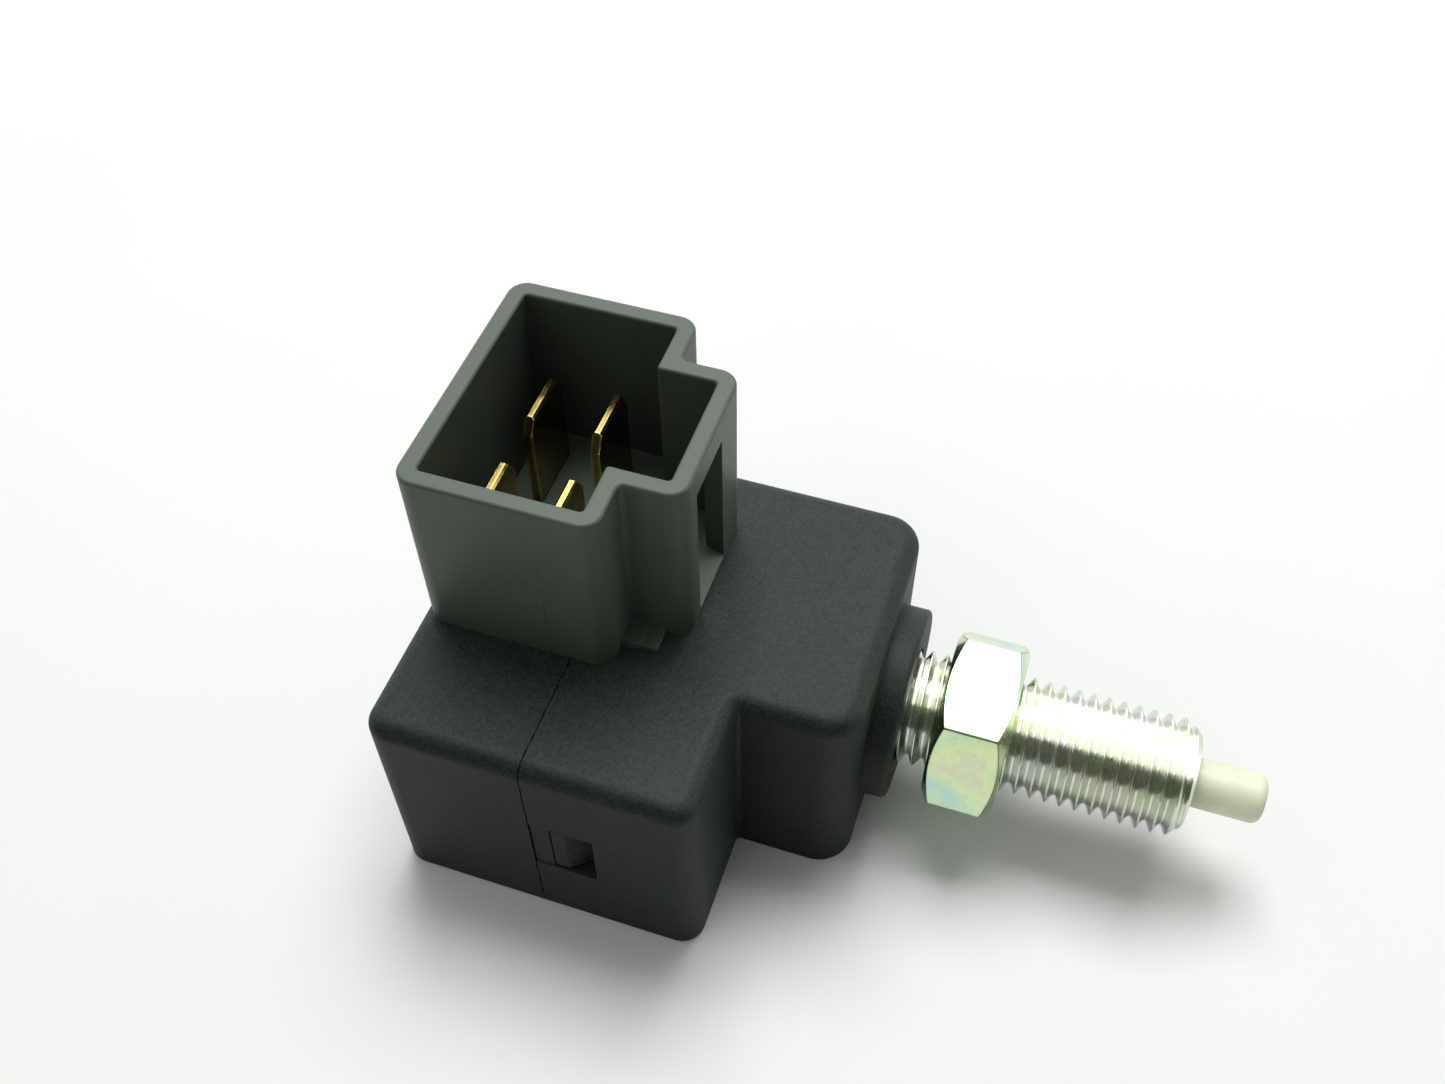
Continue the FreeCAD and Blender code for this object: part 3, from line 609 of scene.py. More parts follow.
# Polyester from a polished tool: green grey with a soft sheen, a faint orange peel and a painted highlight
# along its edges.
GREY_POLYESTER = MouldedPlastic(
    "polyester_moulded", colour="#454F44", painted_edge_colour="#677160", roughness=0.46, ior=1.57,
    grain_mm=0.45, grain_depth_mm=0.003, flow_mm=14.0, flow_change=0.07, edge_mm=0.08, gloss=0.24,
    speck=0.05)
# Heat stabilised nylon of the inner carrier, as it leaves a plain tool: cream and satin, with a painted
# highlight along its edges.
CARRIER_NYLON = MouldedPlastic(
    "heat_stabilised_nylon", colour="#D8CFB4", painted_edge_colour="#E6DFC8", roughness=0.45, ior=1.53,
    grain_mm=0.40, grain_depth_mm=0.002, flow_mm=8.0, flow_change=0.05, edge_mm=0.08, gloss=0.50,
    speck=0.03)
# Natural nylon rod, turned: milky pale green with soft edges. Turning marks of about 0.1 mm are drawn as
# faint rings 1.57 mm apart, so that they show.
PLUNGER_NYLON = NaturalNylon(
    "nylon_rod_natural", colour="#E4EACB", depth_mm=0.7, roughness=0.40, ring_mm=1.57, edge_mm=0.10)
# Zinc plate on drawn bar under a clear passivate: near white metal whose film drifts between green and
# blue, with painted shade as a dark line along its edges. Drawing lines of about 0.05 mm are drawn 0.22 mm
# apart, so that they show.
ZINC_NUT = ZincPlate(
    "zinc_plate_drawn_bar", tints=("#B2D8DC", "#C2E2C6", "#CEE6B8", "#DCE8B6", "#D6DCC2"),
    painted_edge_colour="#2A3038", patch_mm=5.0, roughness=0.20, line_mm=0.22, line_depth_mm=0.004,
    edge_mm=0.22)
# Zinc plate on a rolled thread: whiter and smoother than the nut, with hardly any tint and a faint painted
# shade along its edges.
ZINC_THREAD = ZincPlate(
    "zinc_plate_rolled_thread", tints=("#D0D7CC", "#D4DAC6", "#D8D9D0", "#CCD6D8"),
    painted_edge_colour="#C8CCC6", patch_mm=4.0, roughness=0.18, line_mm=0.30, line_depth_mm=0.001,
    edge_mm=0.03)
# Brass strip, rolled and stamped: olive gold with brown tarnish, its colour darkened as painted shade for
# the dark cavity that its faces mirror, and a painted yellow highlight along its edges.
# Rolling lines of about 0.02 mm are drawn 0.12 mm apart here and on the bridges, so that they show.
BLADE_BRASS = StripMetal(
    "brass_strip", colour="#9A8548", dull_colour="#6E5E34", edge_highlight_colour="#EBD08A", roughness=0.14,
    streak=(1.0, 1.0, 0.05), streak_mm=0.12, edge_mm=0.06)
# Copper alloy strip, rolled and stamped: satin salmon with brown tarnish and a painted highlight along its
# edges.
BRIDGE_COPPER = StripMetal(
    "copper_alloy_strip", colour="#D99A74", dull_colour="#8C5A40", edge_highlight_colour="#E0AA88",
    roughness=0.28, streak=(1.0, 0.05, 1.0), streak_mm=0.12, edge_mm=0.06)
# Silver contact rivets, headed cold: warm white metal with grey tarnish and a painted highlight along its
# edges.
CONTACT_SILVER = StripMetal(
    "silver_rivet", colour="#E6E4DE", dull_colour="#B4B0A6", edge_highlight_colour="#ECEAE6", roughness=0.22,
    streak=(1.0, 1.0, 1.0), streak_mm=0.10, edge_mm=0.05)
# Stainless spring wire and strip, drawn: cool grey with a soft shine.
SPRING_STEEL = StripMetal(
    "stainless_spring_wire", colour="#B9BBBD", dull_colour="#83858A", edge_highlight_colour="#B9BBBD",
    roughness=0.24, streak=(1.0, 1.0, 1.0), streak_mm=0.08, edge_mm=0.03)
# Laminate with a matt press plate finish: nearly white, with clouding that is barely seen.
TABLE = TableTop("pale_laminate", "#F1F3F0")


def shade_by_angle(bm: bmesh.types.BMesh, degrees: float) -> None:
    """Smooth every face, and keep edges crisp where faces meet at more than an angle.

    Args:
        bm: The mesh.
        degrees: The angle.
    """
    for face in bm.faces:
        face.smooth = True
    for edge in bm.edges:
        edge.smooth = edge.is_manifold and edge.calc_face_angle() < math.radians(degrees)


def publish(bm: bmesh.types.BMesh, name: str, body: Body, finish: Finish,
            stands_for: Sequence[str] = (), crease_deg: float = 32.0) -> bpy.types.Object:
    """Make a piece of the part from a mesh in millimetres.

    Args:
        bm: The mesh, which is used up.
        name: Name of the piece.
        body: Body it rides on.
        finish: Finish of all its faces.
        stands_for: Nodes of the part that it replaces.
        crease_deg: Angle above which an edge stays crisp.

    Returns:
        The new object.
    """
    bmesh.ops.recalc_face_normals(bm, faces=bm.faces[:])
    shade_by_angle(bm, crease_deg)
    bmesh.ops.scale(bm, vec=(MM, MM, MM), verts=bm.verts[:])
    mesh = bpy.data.meshes.new(name)
    bm.to_mesh(mesh)
    bm.free()
    piece = bpy.data.objects.new(name, mesh)
    bpy.context.scene.collection.objects.link(piece)
    finish.dress(piece)
    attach(piece, body.value)
    if stands_for:
        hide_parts(*stands_for)
    LOG.info("%s: %d faces on %s", name, len(mesh.polygons), body.value)
    return piece


def combine(base: bmesh.types.BMesh, tool: bmesh.types.BMesh, how: Cut) -> bmesh.types.BMesh:
    """Cut one closed mesh with another.

    Args:
        base: The mesh that is cut, which is used up.
        tool: The mesh that cuts it, which is used up.
        how: What is kept.

    Returns:
        The result.
    """
    objects = []
    for bm in (base, tool):
        bmesh.ops.recalc_face_normals(bm, faces=bm.faces[:])
        mesh = bpy.data.meshes.new("cutting")
        bm.to_mesh(mesh)
        bm.free()
        cutting = bpy.data.objects.new("cutting", mesh)
        bpy.context.scene.collection.objects.link(cutting)
        objects.append(cutting)
    modifier = objects[0].modifiers.new("cut", "BOOLEAN")
    modifier.operation = how.value
    modifier.object = objects[1]
    modifier.solver = "EXACT"
    bpy.context.view_layer.update()
    evaluated = objects[0].evaluated_get(bpy.context.evaluated_depsgraph_get())
    result = bmesh.new()
    result.from_mesh(evaluated.to_mesh())
    evaluated.to_mesh_clear()
    for cutting in objects:
        mesh = cutting.data
        bpy.data.objects.remove(cutting)
        bpy.data.meshes.remove(mesh)
    return result


def along_x(x: float) -> Matrix:
    """Matrix that lays a shape made along Z along X, with its middle at x."""
    return Matrix.Translation((x, 0, 0)) @ Matrix.Rotation(math.pi / 2, 4, "Y")


def corner_radius(across_flats: float) -> float:
    """Radius of the corners of a hexagon."""
    return across_flats / math.sqrt(3)


def boundary_at(bm: bmesh.types.BMesh, x: float) -> list[bmesh.types.BMEdge]:
    """Open edges of a mesh that lie in the plane at x."""
    return [edge for edge in bm.edges
            if edge.is_boundary and all(abs(vert.co.x - x) < WELD_MM for vert in edge.verts)]


@dataclass(frozen=True)
class HelicalThread:
    """Right handed metric thread about the X axis, in millimetres.

    Attributes:
        crest_r: Radius of the crests.
        depth: Depth from crest to root.
        pitch: Advance in one turn.
        crest_x: X of one crest on the +Y side.
        steps: Facets in one turn.
    """

    crest_r: float
    depth: float
    pitch: float = 1.25
    crest_x: float = 9.58
    steps: int = ROUND_FACETS

    def half_profile(self) -> list[tuple[float, float]]:
        """Share of the pitch from the crest and share of the depth, from the crest to the root."""
        return [(0.0, 1.0), (0.035, 1.0), (0.062, 0.967), (0.17, 0.667), (0.28, 0.361), (0.385, 0.07),
                (0.41, 0.022), (0.44, 0.003), (0.5, 0.0)]

    def shell(self, low: float, high: float) -> bmesh.types.BMesh:
        """Make the threaded surface between two planes across X, open at both ends.

        Args:
            low: X of the first plane.
            high: X of the second plane.

        Returns:
            The open shell.
        """
        half = self.half_profile()
        outline = [(-share, height) for share, height in reversed(half)] + half[1:]
        turns = math.ceil((high - low) / self.pitch) + 3
        first = self.crest_x + self.pitch * (math.floor((low - self.crest_x) / self.pitch) - 1)
        bm = bmesh.new()
        row = [bm.verts.new((first + share * self.pitch, self.crest_r - (1 - height) * self.depth, 0))
               for share, height in outline]
        line = [bm.edges.new(pair) for pair in zip(row, row[1:])]
        bmesh.ops.spin(bm, geom=row + line, cent=(0, 0, 0), axis=(1, 0, 0),
                       dvec=(self.pitch / self.steps, 0, 0), angle=math.tau, steps=self.steps,
                       use_merge=False, use_duplicate=False)
        turn = bm.verts[:] + bm.edges[:] + bm.faces[:]
        for index in range(1, turns):
            copied = bmesh.ops.duplicate(bm, geom=turn)["geom"]
            verts = [item for item in copied if isinstance(item, bmesh.types.BMVert)]
            bmesh.ops.translate(bm, vec=(index * self.pitch, 0, 0), verts=verts)
        bmesh.ops.remove_doubles(bm, verts=bm.verts[:], dist=WELD_MM)
        for x, side in ((low, -1), (high, 1)):
            bmesh.ops.bisect_plane(bm, geom=bm.verts[:] + bm.edges[:] + bm.faces[:], dist=CUT_MM,
                                   plane_co=(x, 0, 0), plane_no=(side, 0, 0), clear_outer=True)
        return bm


@dataclass(frozen=True)
class ThreadedSleeve:
    """Zinc plated sleeve: rolled thread, chamfered mouth, plunger bore and the flange in the housing.

    Attributes:
        thread: The rolled thread.
        flange_x: X of the flange's inner face.
        shank_x: X where the flange ends and the thread starts.
        end_x: X of the outer end.
        chamfer: Length of the chamfer at the outer end.
        end_r: Radius of the outer end face.
        bore_r: Radius of the plunger's bore.
        mouth: Size of the chamfer at the bore's mouth.
        flange_af: Width of the flange across its flats.
    """

    thread: HelicalThread = HelicalThread(crest_r=4.93, depth=0.78)
    flange_x: float = -6.6
    shank_x: float = -4.6
    end_x: float = 23.7
    chamfer: float = 1.05
    end_r: float = 3.95
    bore_r: float = 2.155
    mouth: float = 0.2
    flange_af: float = 12.4

    def bore_tube(self, bm: bmesh.types.BMesh, low: float, high: float) -> None:
        """Add the bore's wall between two planes across X.

        Args:
            bm: Mesh to add to.
            low: X of the first plane.
            high: X of the second plane.
        """
        bmesh.ops.create_cone(bm, cap_ends=False, segments=ROUND_FACETS, radius1=self.bore_r,
                              radius2=self.bore_r, depth=high - low, matrix=along_x((low + high) / 2))

    def make_shank(self) -> bmesh.types.BMesh:
        """Make the threaded shank with its chamfered end and bore.

        Returns:
            The closed shank.
        """
        bm = self.thread.shell(self.shank_x, self.end_x)
        slope = (self.thread.crest_r - self.end_r) / self.chamfer
        for vert in bm.verts:
            radius = math.hypot(vert.co.y, vert.co.z)
            allowed = self.end_r + (self.end_x - vert.co.x) * slope
            if radius > allowed:
                vert.co.y *= allowed / radius
                vert.co.z *= allowed / radius
        inner_x = self.end_x - self.mouth
        self.bore_tube(bm, self.shank_x, inner_x)
        widened = bmesh.ops.extrude_edge_only(bm, edges=boundary_at(bm, inner_x))["geom"]
        lip = [item for item in widened if isinstance(item, bmesh.types.BMVert)]
        grow = 1 + self.mouth / self.bore_r
        bmesh.ops.scale(bm, vec=(1, grow, grow), verts=lip)
        bmesh.ops.translate(bm, vec=(self.mouth, 0, 0), verts=lip)
        for x in (self.shank_x, self.end_x):
            bmesh.ops.bridge_loops(bm, edges=boundary_at(bm, x))
        return bm

    def make_flange(self) -> bmesh.types.BMesh:
        """Make the hexagonal flange that sits in the housing's socket.

        Returns:
            The closed flange, with two of its flats level.
        """
        bm = bmesh.new()
        radius = corner_radius(self.flange_af)
        bmesh.ops.create_cone(bm, cap_ends=False, segments=HEX_SIDES, radius1=radius, radius2=radius,
                              depth=self.shank_x - self.flange_x,
                              matrix=along_x((self.shank_x + self.flange_x) / 2))
        bmesh.ops.rotate(bm, cent=(0, 0, 0), verts=bm.verts[:],
                         matrix=Matrix.Rotation(math.pi / HEX_SIDES, 3, "X"))
        self.bore_tube(bm, self.flange_x, self.shank_x)
        for x in (self.flange_x, self.shank_x):
            bmesh.ops.bridge_loops(bm, edges=boundary_at(bm, x))
        return bm

    def build(self) -> bpy.types.Object:
        """Make the sleeve in place of its solid, whose thread is rings.

        Returns:
            The sleeve.
        """
        bm = self.make_shank()
        flange = self.make_flange()
        mesh = bpy.data.meshes.new("flange")
        flange.to_mesh(mesh)
        flange.free()
        bm.from_mesh(mesh)
        bpy.data.meshes.remove(mesh)
        return publish(bm, "threaded_sleeve_rolled", Body.HOUSING, ZINC_THREAD,
                       ["threaded_sleeve"], crease_deg=12.0)


@dataclass(frozen=True)
class LockNut:
    """Hexagon lock nut cut from drawn bar: bevelled faces, softened corners and a tapped bore.

    Attributes:
        low_x: X of the inner face.
        high_x: X of the outer face.
        across_flats: Width across its flats.
        face_r: Radius of the flat part of each face.
        bevel_deg: Angle of the bevel at each face.
        turn_deg: Angle of a corner from +Y towards +Z.
        corner_mm: Softening of the long corners.
        tap: The thread cut in the bore.
        countersink_r: Radius of the countersink at each face.
        countersink_depth: How far its cone reaches into the nut.
        overrun: How far the cutting shapes reach past what they cut.
    """

    low_x: float = 2.8
    high_x: float = 8.8
    across_flats: float = 14.0
    face_r: float = 6.65
    bevel_deg: float = 30.0
    turn_deg: float = 11.0
    corner_mm: float = 0.18
    tap: HelicalThread = HelicalThread(crest_r=5.02, depth=0.72, steps=60)
    countersink_r: float = 5.25
    countersink_depth: float = 1.3
    overrun: float = 1.0

    def make_bar(self) -> bmesh.types.BMesh:
        """Make the hexagon bar with softened corners.

        Returns:
            The closed bar.
        """
        bm = bmesh.new()
        radius = corner_radius(self.across_flats)
        length = self.high_x - self.low_x
        bmesh.ops.create_cone(bm, cap_ends=True, segments=HEX_SIDES, radius1=radius, radius2=radius,
                              depth=length, matrix=along_x((self.low_x + self.high_x) / 2))
        first = max(bm.verts, key=lambda vert: vert.co.y).co
        start = math.atan2(first.z, first.y)
        turn = Matrix.Rotation(math.radians(self.turn_deg) - start, 3, "X")
        bmesh.ops.rotate(bm, cent=(0, 0, 0), matrix=turn, verts=bm.verts[:])
        long_edges = [edge for edge in bm.edges
                      if abs(edge.verts[0].co.x - edge.verts[1].co.x) > length / 2]
        bmesh.ops.bevel(bm, geom=long_edges, offset=self.corner_mm, offset_type="OFFSET", segments=3,
                        affect="EDGES", profile=0.5, material=-1)
        return bm

    def make_barrel(self) -> bmesh.types.BMesh:
        """Make the turned shape whose cones bevel both faces of the bar.

        Returns:
            The closed shape.
        """
        corner = corner_radius(self.across_flats) + self.overrun / 2
        depth = (corner - self.face_r) * math.tan(math.radians(self.bevel_deg))
        outline = [(self.low_x, 0), (self.low_x, self.face_r), (self.low_x + depth, corner),
                   (self.high_x - depth, corner), (self.high_x, self.face_r), (self.high_x, 0)]
        bm = bmesh.new()
        row = [bm.verts.new((x, y, 0)) for x, y in outline]
        line = [bm.edges.new(pair) for pair in zip(row, row[1:])]
        bmesh.ops.spin(bm, geom=row + line, cent=(0, 0, 0), axis=(1, 0, 0), angle=math.tau,
                       steps=2 * ROUND_FACETS, use_merge=True, use_duplicate=False)
        bmesh.ops.remove_doubles(bm, verts=bm.verts[:], dist=WELD_MM / 2)
        return bm

    def make_tap(self) -> bmesh.types.BMesh:
        """Make the tap: a threaded plug that reaches past both faces.

        Returns:
            The closed plug.
        """
        bm = self.tap.shell(self.low_x - self.overrun, self.high_x + self.overrun)
        bmesh.ops.holes_fill(bm, edges=[edge for edge in bm.edges if edge.is_boundary], sides=0)
        return bm

    def make_countersinks(self) -> bmesh.types.BMesh:
        """Make the two right angled cones that countersink the bore.

        Returns:
            Both closed cones.
        """
        bm = bmesh.new()
        outer, inner = self.countersink_r + self.overrun, self.countersink_r - self.countersink_depth
        depth = self.overrun + self.countersink_depth
        for x, side in ((self.low_x, -1), (self.high_x, 1)):
            low_r, high_r = (outer, inner) if side < 0 else (inner, outer)
            bmesh.ops.create_cone(bm, cap_ends=True, segments=ROUND_FACETS, radius1=low_r,
                                  radius2=high_r, depth=depth,
                                  matrix=along_x(x + side * (self.overrun - depth / 2)))
        return bm

    def build(self) -> bpy.types.Object:
        """Make the nut in place of its plain solid.

        Returns:
            The nut.
        """
        nut = combine(self.make_bar(), self.make_barrel(), Cut.KEEP_COMMON)
        nut = combine(nut, self.make_tap(), Cut.TAKE_AWAY)
        nut = combine(nut, self.make_countersinks(), Cut.TAKE_AWAY)
        return publish(nut, "lock_nut_tapped", Body.LOCK_NUT, ZINC_NUT, ["lock_nut"],
                       crease_deg=24.0)


@dataclass(frozen=True)
class Moulding:
    """A moulded line that stands slightly proud where two tool halves or two mouldings met.

    Attributes:
        name: Name of the piece.
        path: Corners of the line as (x, y, z, nx, ny, nz): a point and the outward direction there.
        offsets: Sideways places across the line, in millimetres.
        heights: Height over the surface at each sideways place.
        sway: How far the line wanders sideways.
        step: Spacing of the sections along the line.
        seed: Number that sets the wandering.
    """

    name: str
    path: tuple[tuple[float, ...], ...]
    offsets: tuple[float, ...]
    heights: tuple[float, ...]
    sway: float
    step: float
    seed: float

    def stations(self) -> list[tuple[Vector, Vector]]:
        """Walk along the line in even steps.

        Returns:
            A point and the outward direction there for each station.
        """
        places = []
        corners = [(Vector(corner[:3]), Vector(corner[3:])) for corner in self.path]
        for (start, out), (end, next_out) in zip(corners, corners[1:]):
            count = max(1, round((end - start).length / self.step))
            for index in range(count):
                share = index / count
                places.append((start.lerp(end, share), out.lerp(next_out, share).normalized()))
        places.append(corners[-1])
        return places

    def section(self, index: int, place: tuple[Vector, Vector], side: Vector) -> list[Vector]:
        """Points across the line at one station.

        Args:
            index: Number of the station.
            place: Its point and outward direction.
            side: Sideways direction.

        Returns:
            One point for each offset.
        """
        point, out = place
        travel = index * self.step
        slow, fast, fast_share, uneven = 1.1, 4.3, 0.4, 2.1
        drift = self.sway * noise.noise(Vector((travel * slow, self.seed, 0)))
        drift += self.sway * fast_share * noise.noise(Vector((travel * fast, self.seed, 7)))
        lift = 0.7 + 0.6 * noise.noise(Vector((travel * uneven, self.seed, 3)))
        return [point + side * (offset + drift) + out * height * (lift if height > 0 else 1)
                for offset, height in zip(self.offsets, self.heights)]

    def build(self, body: Body, slot: Slot, finish: Finish) -> bpy.types.Object:
        """Sweep the section along the line.

        Args:
            body: Body it rides on.
            slot: Material slot of the record; not used.
            finish: Finish of the moulding that it belongs to.

        Returns:
            The new piece.
        """
        places = self.stations()
        side = Vector((1, 0, 0))
        bm = bmesh.new()
        row = [bm.verts.new(co) for co in self.section(0, places[0], side)]
        line = [bm.edges.new(pair) for pair in zip(row, row[1:])]
        for index, place in enumerate(places[1:], start=1):
            grown = bmesh.ops.extrude_edge_only(bm, edges=line)["geom"]
            line = [item for item in grown if isinstance(item, bmesh.types.BMEdge)]
            for vert, co in zip(self.in_order(line), self.section(index, place, side)):
                vert.co = co
        return publish(bm, self.name, body, finish, crease_deg=80.0)

    @staticmethod
    def in_order(line: Sequence[bmesh.types.BMEdge]) -> list[bmesh.types.BMVert]:
        """Vertices of a chain of edges from its low X end to its high X end."""
        verts = {vert for edge in line for vert in edge.verts}
        return sorted(verts, key=lambda vert: vert.co.x)


@dataclass(frozen=True)
class Housing:
    """Black housing: its two mouldings, and the flash along their seam.

    Attributes:
        seam_x: X of the middle of the seam.
        front_y: Y of the block's front face.
        tower_y: Half width of the tower, where the seam goes under it.
        top_z: Height of the top face.
        edge_r: Radius of the rounded top edge.
        bend_deg: Angles on the rounded edge at which the flash turns, up from the front face.
        flash_offsets: Sideways places across the flash.
        flash_heights: Height of the flash at each of them, with the gap as a groove at its middle.
    """

    seam_x: float = -25.45
    front_y: float = -22.2
    tower_y: float = 11.35
    top_z: float = 11.1
    edge_r: float = 1.5
    bend_deg: tuple[float, ...] = (25.0, 38.0, 51.0, 64.0, 77.0, 90.0)
    flash_offsets: tuple[float, ...] = (-0.30, -0.16, -0.06, -0.015, 0.015, 0.07, 0.18, 0.30)
    flash_heights: tuple[float, ...] = (-0.01, 0.035, 0.05, -0.09, -0.09, 0.06, 0.025, -0.01)

    def rounded_path(self) -> tuple[tuple[float, ...], ...]:
        """Lead the flash from the front face round the top edge to the tower.

        Returns:
            Its corners, as Moulding takes them.
        """
        x = self.seam_x
        centre_y, centre_z = self.front_y + self.edge_r, self.top_z - self.edge_r
        corners = []
        for angle in map(math.radians, self.bend_deg):
            out_y, out_z = -math.cos(angle), math.sin(angle)
            corners.append((x, centre_y + self.edge_r * out_y, centre_z + self.edge_r * out_z,
                            0, out_y, out_z))
        corners.append((x, -self.tower_y, self.top_z, 0, 0, 1))
        return tuple(corners)

    def build(self) -> None:
        """Dress both mouldings and add the flash."""
        for node in ("front_housing", "rear_cover"):
            BLACK_NYLON.dress(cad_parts[node])
        flash = Moulding("seam_flash", self.rounded_path(), self.flash_offsets, self.flash_heights,
                         sway=0.14, step=0.12, seed=4.2)
        flash.build(Body.HOUSING, Slot.BLACK_HOUSING, BLACK_NYLON)


@dataclass(frozen=True)
class Connector:
    """Grey connector tower with its parting lines, and the brass terminals that stand in it.

    Attributes:
        line_x: X of the tool's parting line on the long walls.
        half_width: Half the tower's outer width.
        foot_z: Height of the tower's foot.
        rim_z: Height where the line ends, just under the rounded rim.
        line_offsets: Sideways places across the line.
        line_heights: Height of the line at each of them.
    """

    line_x: float = -27.2
    half_width: float = 11.35
    foot_z: float = 11.12
    rim_z: float = 27.62
    line_offsets: tuple[float, ...] = (-0.09, -0.04, 0.04, 0.09)
    line_heights: tuple[float, ...] = (-0.005, 0.045, 0.045, -0.005)

    def build(self) -> None:
        """Dress the tower and terminals, and add the parting lines."""
        GREY_POLYESTER.dress(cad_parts["connector_shroud"])
        for row in ("stop", "cruise"):
            for end in ("front", "back"):
                BLADE_BRASS.dress(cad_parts[f"{row}_terminal_{end}"])
        for name, sign in (("front", -1), ("back", 1)):
            y = sign * self.half_width
            path = tuple((self.line_x, y, z, 0, sign, 0) for z in (self.foot_z, self.rim_z))
            line = Moulding(f"tower_parting_line_{name}", path, self.line_offsets,
                            self.line_heights, sway=0.03, step=0.4, seed=1.5 + sign)
            line.build(Body.HOUSING, Slot.GREY_CONNECTOR, GREY_POLYESTER)


@dataclass(frozen=True)
class Mounting:
    """What holds the switch in its bracket: threaded sleeve, lock nut and the plunger through them.

    Attributes:
        sleeve: The sleeve.
        nut: The nut on it.
    """

    sleeve: ThreadedSleeve = ThreadedSleeve()
    nut: LockNut = LockNut()

    def build(self) -> None:
        """Make the sleeve and nut, and dress the plunger."""
        self.sleeve.build()
        self.nut.build()
        PLUNGER_NYLON.dress(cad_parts["plunger"])


@dataclass(frozen=True)
class Mechanism:
    """The inner works, dressed as they are: carrier, clip, springs, bridges and contact rivets."""

    def build(self) -> None:
        """Dress every inner node."""
        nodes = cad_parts
        CARRIER_NYLON.dress(nodes["contact_carrier"])
        for node in ("retaining_clip", "return_spring", "stop_bridge_spring", "cruise_bridge_spring"):
            SPRING_STEEL.dress(nodes[node])
        for row in ("stop", "cruise"):
            BRIDGE_COPPER.dress(nodes[f"{row}_bridge"])
            for end in ("front", "back"):
                CONTACT_SILVER.dress(nodes[f"{row}_fixed_contact_{end}"])
                CONTACT_SILVER.dress(nodes[f"{row}_moving_contact_{end}"])
        LOG.info("inner works dressed")


@dataclass(frozen=True)
class SoftBox:
    """A soft area light.

    Attributes:
        name: Name of the light.
        place: Its position in metres.
        aim: The point it faces, in metres.
        width: Its width in metres.
        height: Its height in metres.
        power: Its power in watts.
    """

    name: str
    place: tuple[float, float, float]
    aim: tuple[float, float, float]
    width: float
    height: float
    power: float

    def build(self) -> None:
        """Add the light, aimed at its point."""
        light = bpy.data.lights.new(self.name, "AREA")
        light.shape = "RECTANGLE"
        light.size = self.width
        light.size_y = self.height
        light.energy = self.power
        holder = bpy.data.objects.new(self.name, light)
        toward = Vector(self.aim) - Vector(self.place)
        turn = toward.to_track_quat("-Z", "Y").to_matrix().to_4x4()
        holder.matrix_world = Matrix.Translation(self.place) @ turn
        bpy.context.scene.collection.objects.link(holder)


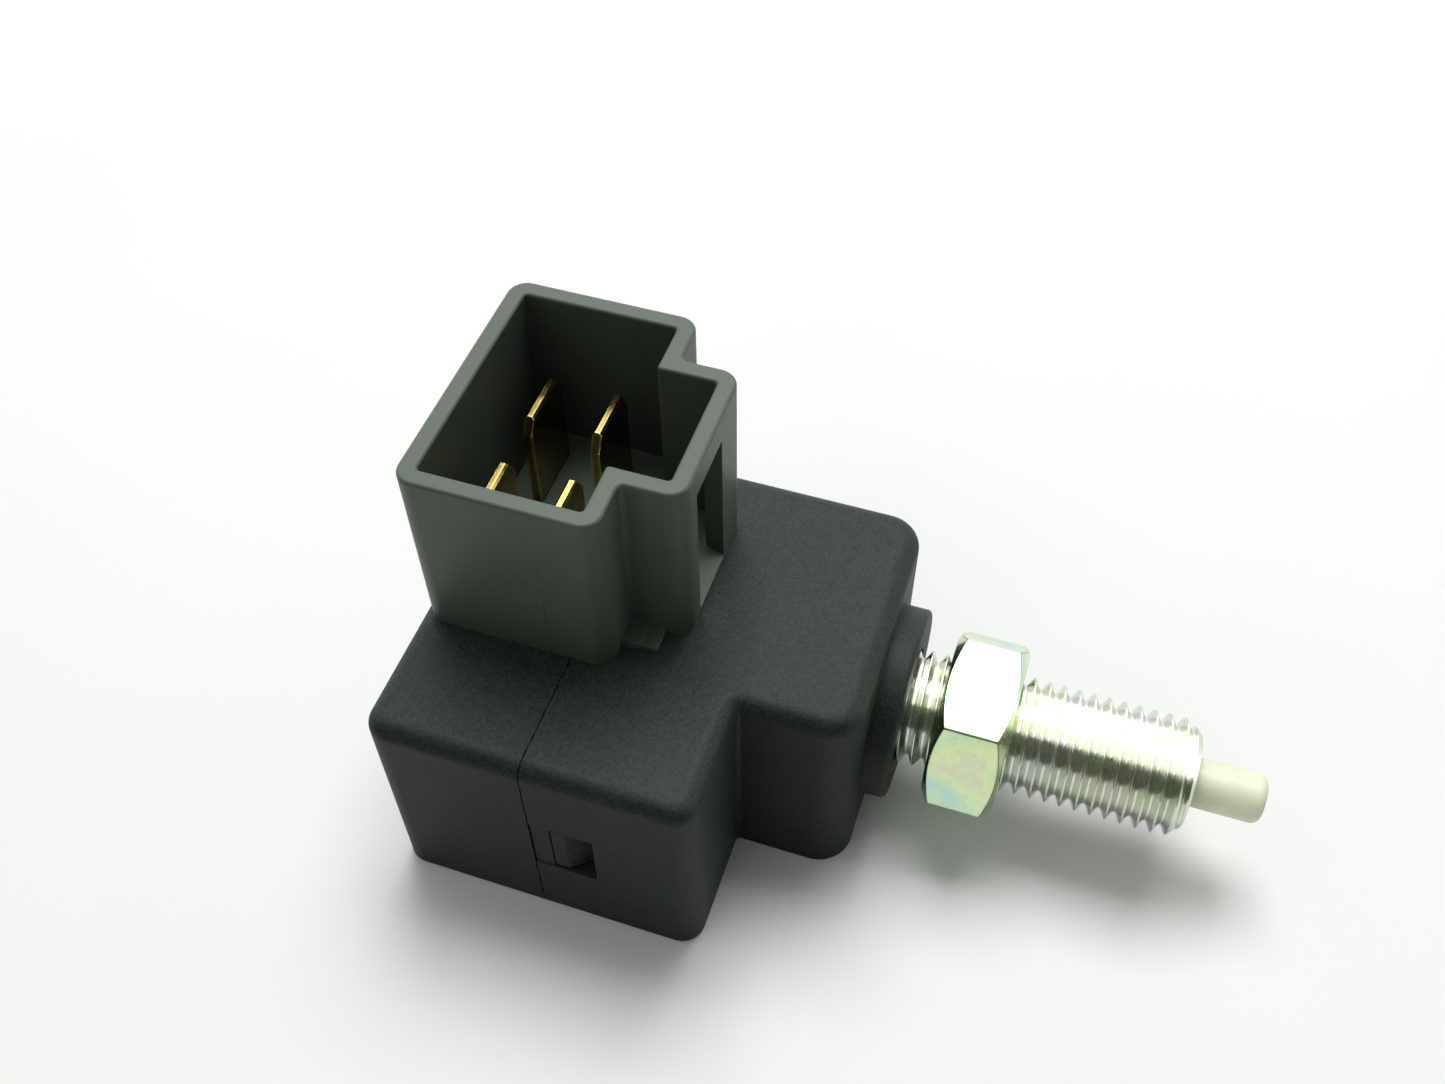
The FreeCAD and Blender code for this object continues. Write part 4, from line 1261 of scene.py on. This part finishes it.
@dataclass(frozen=True)
class Studio:
    """Pale table, soft lights, surroundings and the camera at the photograph's angle.

    Attributes:
        table_z: Height of the table in metres.
        table_size: Half its width in metres.
        camera_place: Camera position in metres.
        camera_axes: The camera's right, up and backward directions.
        focal_mm: Focal length.
        sensor_mm: Width of the camera's sensor.
        lights: The soft boxes.
        window_side: Direction of the soft daylight that opens the shadow in front of the block.
        window_spread: How squarely a direction faces the window where its light starts, and is full.
        window_level: Full level of that daylight.
        room_deg: Angles up from the front, round over the top, between which the room gets lighter.
        room_level: Level of the room behind the part, and before and over it.
        ceiling_deg: Angles between which the mirrored ceiling sets in.
        ceiling_level: Level of what the part mirrors elsewhere, and of the ceiling.
    """

    table_z: float = -0.01041
    table_size: float = 1.6
    camera_place: tuple[float, float, float] = (0.00754, -0.06951, 0.10636)
    camera_axes: tuple[tuple[float, float, float], ...] = (
        (0.947952, 0.318285, -0.009009),
        (-0.241835, 0.738089, 0.629873),
        (0.207128, -0.594911, 0.776646))
    focal_mm: float = 36.58
    sensor_mm: float = 36.0
    lights: tuple[SoftBox, ...] = (
        SoftBox("back_key", place=(-0.06, 0.26, 0.66), aim=(0.0, 0.0, 0.0), width=0.38,
                height=0.38, power=4.45),)
    window_side: tuple[float, float, float] = (-0.56, -0.62, 0.55)
    window_spread: tuple[float, float] = (0.35, 0.95)
    window_level: float = 0.60
    room_deg: tuple[float, float] = (120.0, 80.0)
    room_level: tuple[float, float] = (0.02, 0.16)
    ceiling_deg: tuple[float, float] = (121.0, 115.0)
    ceiling_level: tuple[float, float] = (0.12, 3.00)

    def add_table(self) -> None:
        """Add the table top as a stage object."""
        bm = bmesh.new()
        bmesh.ops.create_grid(bm, x_segments=2, y_segments=2, size=self.table_size,
                              matrix=Matrix.Translation((0, 0, self.table_z)))
        mesh = bpy.data.meshes.new("table_top")
        bm.to_mesh(mesh)
        bm.free()
        table = bpy.data.objects.new("table_top", mesh)
        bpy.context.scene.collection.objects.link(table)
        TABLE.dress(table)

    def add_surroundings(self) -> None:
        """Surround the part with dim daylight, and with a bright ceiling that only reflections show.

        The ceiling is seen by glossy rays that no matt surface has scattered, so it adds a shine to
        metal and plastic and no light to the table. The camera itself sees the plain backdrop.
        """
        world = bpy.data.worlds.new("studio")
        bpy.context.scene.world = world
        world.use_nodes = True
        tree = world.node_tree
        tree.nodes.clear()
        direction = add_node(tree, "ShaderNodeTexCoord").outputs["Generated"]
        parts = add_node(tree, "ShaderNodeSeparateXYZ", {"Vector": direction})
        swing = add_node(tree, "ShaderNodeMath", {0: parts.outputs["Z"], 1: parts.outputs["Y"]},
                         operation="ARCTAN2")
        room = add_node(tree, "ShaderNodeMapRange",
                        {"Value": swing.outputs["Value"], "From Min": math.radians(self.room_deg[0]),
                         "From Max": math.radians(self.room_deg[1]), "To Min": self.room_level[0],
                         "To Max": self.room_level[1]}, interpolation_type="SMOOTHSTEP")
        toward = add_node(tree, "ShaderNodeVectorMath", {0: direction, 1: self.window_side},
                          operation="DOT_PRODUCT")
        window = add_node(tree, "ShaderNodeMapRange",
                          {"Value": toward.outputs["Value"], "From Min": self.window_spread[0],
                           "From Max": self.window_spread[1], "To Min": 0.0,
                           "To Max": self.window_level}, interpolation_type="SMOOTHSTEP")
        level = add_node(tree, "ShaderNodeMath",
                         {0: room.outputs["Result"], 1: window.outputs["Result"]}, operation="ADD")
        ceiling = add_node(tree, "ShaderNodeMapRange",
                           {"Value": swing.outputs["Value"],
                            "From Min": math.radians(self.ceiling_deg[0]),
                            "From Max": math.radians(self.ceiling_deg[1]),
                            "To Min": self.ceiling_level[0], "To Max": self.ceiling_level[1]},
                           interpolation_type="SMOOTHSTEP")
        hue = add_node(tree, "ShaderNodeValToRGB", {"Fac": ceiling.outputs["Result"]},
                       stops=[(0.15, linear("#E4F0C8")), (0.9, linear("#FAFBFA"))])
        lit = add_node(tree, "ShaderNodeBackground",
                       {"Color": linear("#F8F8F8"), "Strength": level.outputs["Value"]})
        seen = add_node(tree, "ShaderNodeBackground",
                        {"Color": hue.outputs["Color"], "Strength": ceiling.outputs["Result"]})
        paper = add_node(tree, "ShaderNodeBackground", {"Color": linear(BACKDROP), "Strength": 1.0})
        rays = add_node(tree, "ShaderNodeLightPath")
        straight = add_node(tree, "ShaderNodeMath", {0: rays.outputs["Diffuse Depth"], 1: 0.5},
                            operation="LESS_THAN")
        mirrored = add_node(tree, "ShaderNodeMath",
                            {0: rays.outputs["Is Glossy Ray"], 1: straight.outputs["Value"]},
                            operation="MULTIPLY")
        inside = add_node(tree, "ShaderNodeMixShader",
                          {0: mirrored.outputs["Value"], 1: lit.outputs["Background"],
                           2: seen.outputs["Background"]})
        mixed = add_node(tree, "ShaderNodeMixShader",
                         {0: rays.outputs["Is Camera Ray"], 1: inside.outputs["Shader"],
                          2: paper.outputs["Background"]})
        add_node(tree, "ShaderNodeOutputWorld", {"Surface": mixed.outputs["Shader"]})

    def add_camera(self) -> None:
        """Place the camera where the photograph was taken from."""
        camera = bpy.data.cameras.new("camera")
        camera.sensor_fit = "HORIZONTAL"
        camera.sensor_width = self.sensor_mm
        camera.lens = self.focal_mm
        camera.clip_start = 0.005
        camera.clip_end = 10.0
        holder = bpy.data.objects.new("camera", camera)
        turn = Matrix(self.camera_axes).transposed().to_4x4()
        holder.matrix_world = Matrix.Translation(self.camera_place) @ turn
        bpy.context.scene.collection.objects.link(holder)
        bpy.context.scene.camera = holder

    def build(self) -> None:
        """Set up the whole studio."""
        bpy.context.scene.view_settings.view_transform = "Standard"
        self.add_table()
        self.add_surroundings()
        self.add_camera()
        for light in self.lights:
            light.build()


def main() -> None:
    """Build the looks of the whole switch."""
    logging.basicConfig(level=logging.INFO, format="%(name)s: %(message)s")
    Studio().build()
    Housing().build()
    Connector().build()
    Mounting().build()
    Mechanism().build()


if __name__ == "__main__":
    main()
